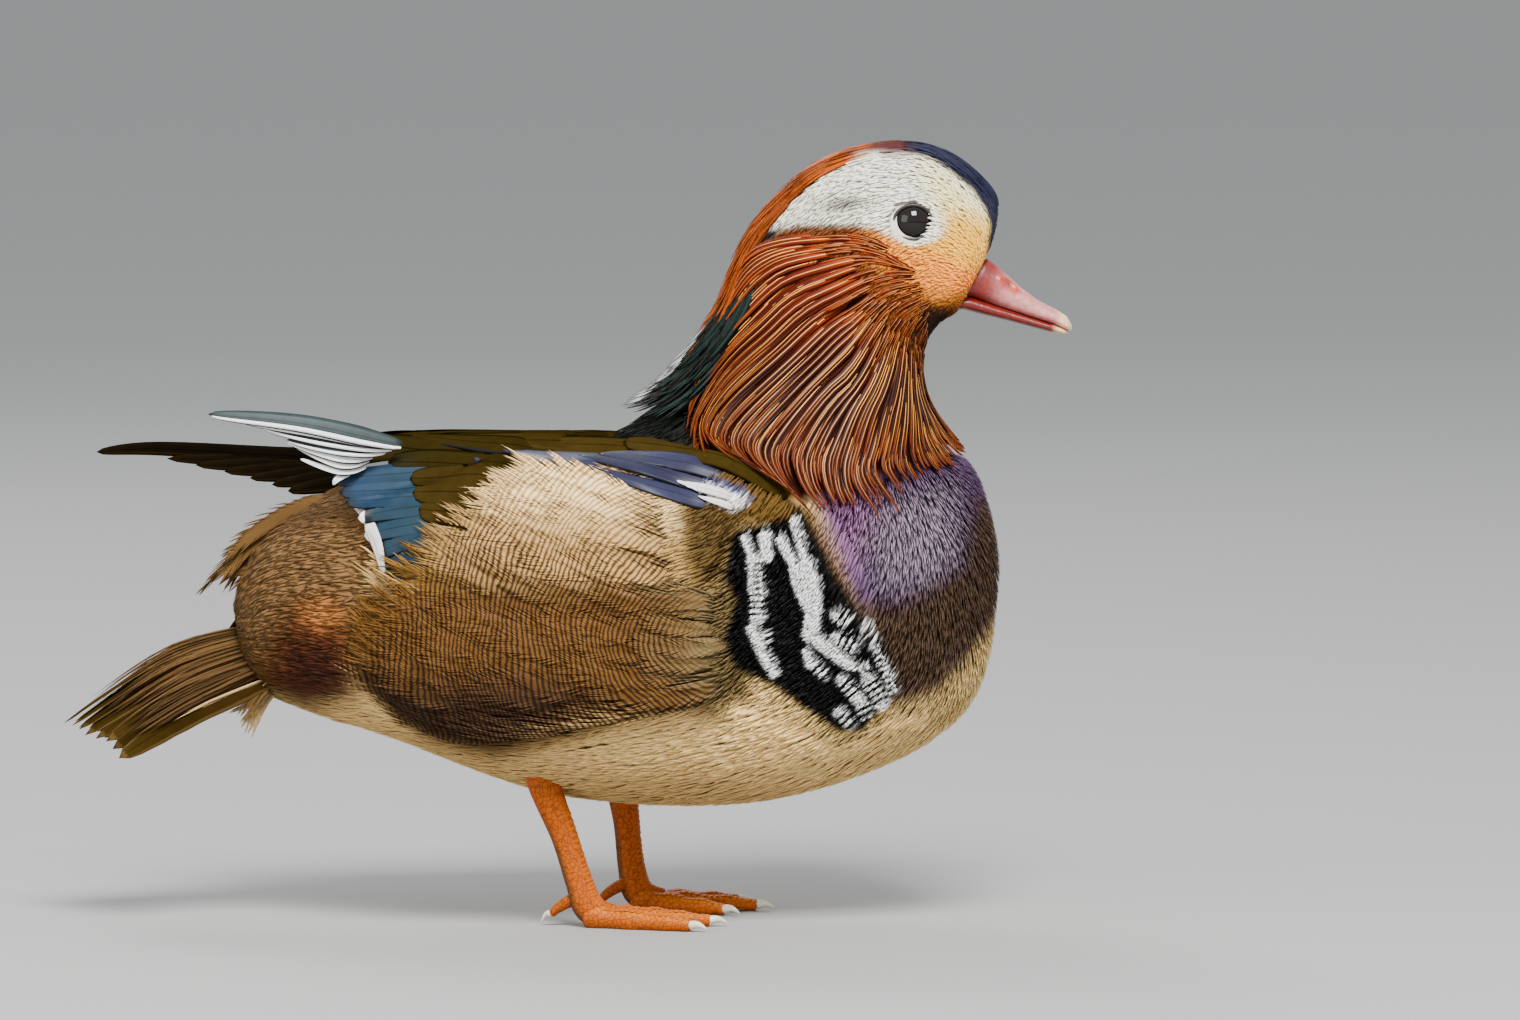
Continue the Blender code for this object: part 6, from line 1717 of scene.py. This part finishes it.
def makeLegs():
    skinLook = legMaterial()
    plates = scuteTree(makeMaterial("scuteSkin", scutes["colour"], 0.42, Specular_IOR_Level=0.14))
    clawLook = makeMaterial("claw", legs["claw"], 0.35, Coat_Weight=0.3)
    webLook = markedWeb()
    for side, word in ((rightSide, "Right"), (leftSide, "Left")):
        route = legs["paths"][side]
        share = np.linspace(0, 1, 90)
        path = curve(route, share * (len(route) - 1))
        radii = curve([(v,) for v in legs["radii"]], share * (len(route) - 1))[:, 0]
        turn = np.linspace(0, 2 * math.pi, 48, endpoint=False)
        along = unit(np.gradient(path, axis=0))
        sideways = np.array((0.0, 1.0, 0.0))
        forward = unit(np.cross(along, sideways))
        forward *= np.sign(forward[0, 0])
        front = np.cos(turn)
        ribs = np.abs(np.sin(share * 26 * math.pi)) ** 0.5 * 0.22
        reach = radii[:, None] * np.ones(48) + ribs[:, None] * smoothStep(0.3, 0.8, front) - 0.15
        ring = forward[:, None] * front[None, :, None] + sideways * (np.sin(turn) * legs["thin"])[None, :, None]
        shank = path[:, None] + ring * reach[..., None]
        shank[..., 2] = np.maximum(shank[..., 2], 0.0)
        meshes, shades = [shank], []
        # painted shade: the back of the shank is darkened, the side turned away from the light
        rear = smoothStep(0.35, 0.95, -front)[None, :] * (smoothStep(0.20, 0.50, share) * smoothStep(0.98, 0.80, share))[:, None]
        bands = (np.abs(np.sin(share * 26 * math.pi)) ** 0.35)[:, None] * np.ones(48)
        rearShade = np.clip(rear * 0.85, 0, 1)[..., None]
        base = np.array(legs["skin"]) * (1 - 0.35 * (1 - bands) * smoothStep(0.0, 0.5, front))[..., None]
        shades.append((base * (1 - rearShade) + np.array(legs["dark"]) * rearShade, len(shank)))
        ankle = np.array(route[-2])
        toeEnds = []
        spots, outwards, aheads, sizes = [], [], [], []
        for k in np.linspace(30, 76, scutes["shank"]).astype(int):
            for lean in (-0.75, -0.25, 0.25, 0.75):
                out = unit(forward[k] * math.cos(lean) + sideways * math.sin(lean))
                stretch = np.array((1.0, legs["thin"], 1.0))
                spots.append(path[k] + (forward[k] * math.cos(lean) + sideways * math.sin(lean) * legs["thin"]) * (radii[k] - 0.25))
                outwards.append(unit(out / stretch))
                aheads.append(along[k])
                sizes.append(0.52 + 0.14 * (abs(lean) < 0.5))
        for yaw, length in legs["toes"]:
            heading = math.radians(yaw) * -side
            ahead = np.array((math.cos(heading), math.sin(heading), 0.0))
            s = np.linspace(0, 1, 60)
            line = np.array((ankle[0] - 1.0, ankle[1], 0.0)) + ahead * ((length * 0.86) * s)[:, None]
            line[:, 2] = np.interp(s, np.linspace(0, 1, 6), legs["toeHeights"])
            thick = np.interp(s, np.linspace(0, 1, 6), legs["toeRadii"])
            thick = thick * (1 + legs["knuckle"] * np.abs(np.sin(s * 3 * math.pi + 0.6)) ** 3) + 0.10 * np.abs(np.sin(s * 24 * math.pi))
            toe = sweep(line, thick, 28)
            toe[..., 2] = np.maximum(toe[..., 2], 0.0)
            meshes.append(toe)
            upper = smoothStep(0.2, 0.9, (toe[..., 2] - line[:, None, 2]) / thick[:, None])
            tones = np.array(legs["skin"]) * (1 - upper[..., None]) + np.array(legs["pale"]) * upper[..., None]
            shades.append((tones, len(toe)))
            toeEnds.append((line[-1], ahead, heading, length))
            for k in np.linspace(12, 56, scutes["toe"]).astype(int):
                spots.append(line[k] + np.array((0.0, 0.0, thick[k] - 0.22)))
                outwards.append((0.0, 0.0, 1.0))
                aheads.append(ahead)
                sizes.append(thick[k] / 3.2)
        back = np.array([(ankle[0] + x, ankle[1] + 0.3 * x * side, z) for x, z in legs["hallux"]])
        s = np.linspace(0, 1, 30)
        line = curve(back, s * 3)
        thick = np.interp(s, np.linspace(0, 1, 4), legs["halluxRadii"])
        meshes.append(sweep(line, thick, 20))
        shades.append((np.broadcast_to(np.array(legs["skin"]) * 0.85, meshes[-1].shape), 30))
        points, quads, tris, loops = joined(meshes)
        colours = []
        for tones, _ in shades:
            colours.append(np.vstack([tones.reshape(-1, 3), tones[0].mean(0), tones[-1].mean(0)]))
        leg = meshPiece("leg" + word, points, quads, tris, skinLook, np.clip(np.vstack(colours), 0, 1), loopMap=loops)
        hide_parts("leg_" + word.lower(), "foot_" + word.lower())
        makeScutes("scutes" + word, plates, spots, outwards, aheads, sizes)
        claws = [clawMesh(end, ahead, 5.6, 1.25) for end, ahead, _, _ in toeEnds]
        claws.append(clawMesh(line[-1], unit(np.array((-1.0, 0.3 * -side, 0.0))), 3.4, 0.9))
        points, quads, tris, loops = joined(claws)
        meshPiece("claws" + word, points, quads, tris, clawLook, loopMap=loops)
        webs = []
        for (_, _, first, one), (_, _, second, two) in zip(toeEnds, toeEnds[1:]):
            v = np.linspace(0, 1, 24)
            w = np.linspace(0.06, 1, 24)
            yaw = first + (second - first) * v
            far = (one + (two - one) * v) * 0.80 * (1 - 0.17 * np.sin(math.pi * v))
            top = np.stack([ankle[0] + np.cos(yaw)[:, None] * far[:, None] * w, ankle[1] + np.sin(yaw)[:, None] * far[:, None] * w,
                            0.95 + 0.25 * np.cos(v * 22)[:, None] * w * np.sin(math.pi * v)[:, None]], -1)
            under = top.copy()
            under[..., 2] = 0.15
            webs.append(np.concatenate([top, under[:, ::-1]], 1))
        points, quads, tris, loops = joined(webs)
        meshPiece("webs" + word, points, quads, tris, webLook, loopMap=loops)


def markedWeb():
    material, nodes, links, shader = newMaterial("webSkin", 0.45)
    place = node(nodes, "TexCoord").outputs["Object"]
    noise = node(nodes, "TexNoise", Scale=420.0, Detail=3.0)
    links.new(place, noise.inputs["Vector"])
    links.new(ramp(nodes, links, noise.outputs["Fac"], ((0.3, legs["web"]),
        (0.75, (0.16, 0.10, 0.045)))), shader.inputs["Base Color"])
    return material


def makeMaterial(name, colour, roughness=0.5, **fixed):
    material, nodes, links, shader = newMaterial(name, roughness, **fixed)
    shader.inputs["Base Color"].default_value = (*colour, 1)
    return material


makeHeadCoat()
makeBodyCoat()
print("stage 5: short feathers")
makeMantle()
makeBack()
makeRuff()
makeCrest()
print("stage 6: mantle, ruff and crest")
makeFlanks()
makeWings()
makeTail()
makeLoose()
print("stage 7: flanks, wings and tail")
makeEyes()
makeBill()
makeLegs()
print("stage 8: eyes, bill and legs")


def makeStage():
    mesh = bpy.data.meshes.new("floor")
    mesh.from_pydata([(-40, -40, 0), (40, -40, 0), (40, 40, 0), (-40, 40, 0)], [], [(0, 1, 2, 3)])
    floor = bpy.data.objects.new("floor", mesh)
    mesh.materials.append(makeMaterial("paleFloor", (0.30, 0.30, 0.29), 0.8))
    bpy.context.scene.collection.objects.link(floor)
    for name, place, power, size in (
        ("keyLight", (0.3, -1.7, 2.1), 178.0, 1.0), ("fillLight", (-1.8, -1.6, 0.9), 26.0, 1.6),
        ("rimLight", (-0.7, 1.6, 1.7), 26.0, 1.0),
    ):
        lamp = bpy.data.lights.new(name, "AREA")
        lamp.energy, lamp.size = power, size
        thing = bpy.data.objects.new(name, lamp)
        thing.location = place
        thing.rotation_euler = (Vector((0, 0, 0.12)) - Vector(place)).to_track_quat("-Z", "Y").to_euler()
        bpy.context.scene.collection.objects.link(thing)
    world = bpy.data.worlds.new("studio")
    world.use_nodes = True
    world.node_tree.nodes["Background"].inputs[0].default_value = (0.93, 0.96, 1.0, 1)
    world.node_tree.nodes["Background"].inputs[1].default_value = 0.9
    bpy.context.scene.world = world


def makeCamera():
    data = bpy.data.cameras.new("camera")
    data.sensor_width, data.lens, data.clip_end = 36.0, 229.2, 100.0
    camera = bpy.data.objects.new("camera", data)
    tilt, distance = math.radians(4.0), 3.0
    camera.location = (0.0609, -distance * math.cos(tilt), 0.1274 + distance * math.sin(tilt))
    camera.rotation_euler = (math.pi / 2 - tilt, 0, 0)
    bpy.context.scene.collection.objects.link(camera)
    bpy.context.scene.camera = camera


makeStage()
makeCamera()
print("stage 9: floor, lights and camera")
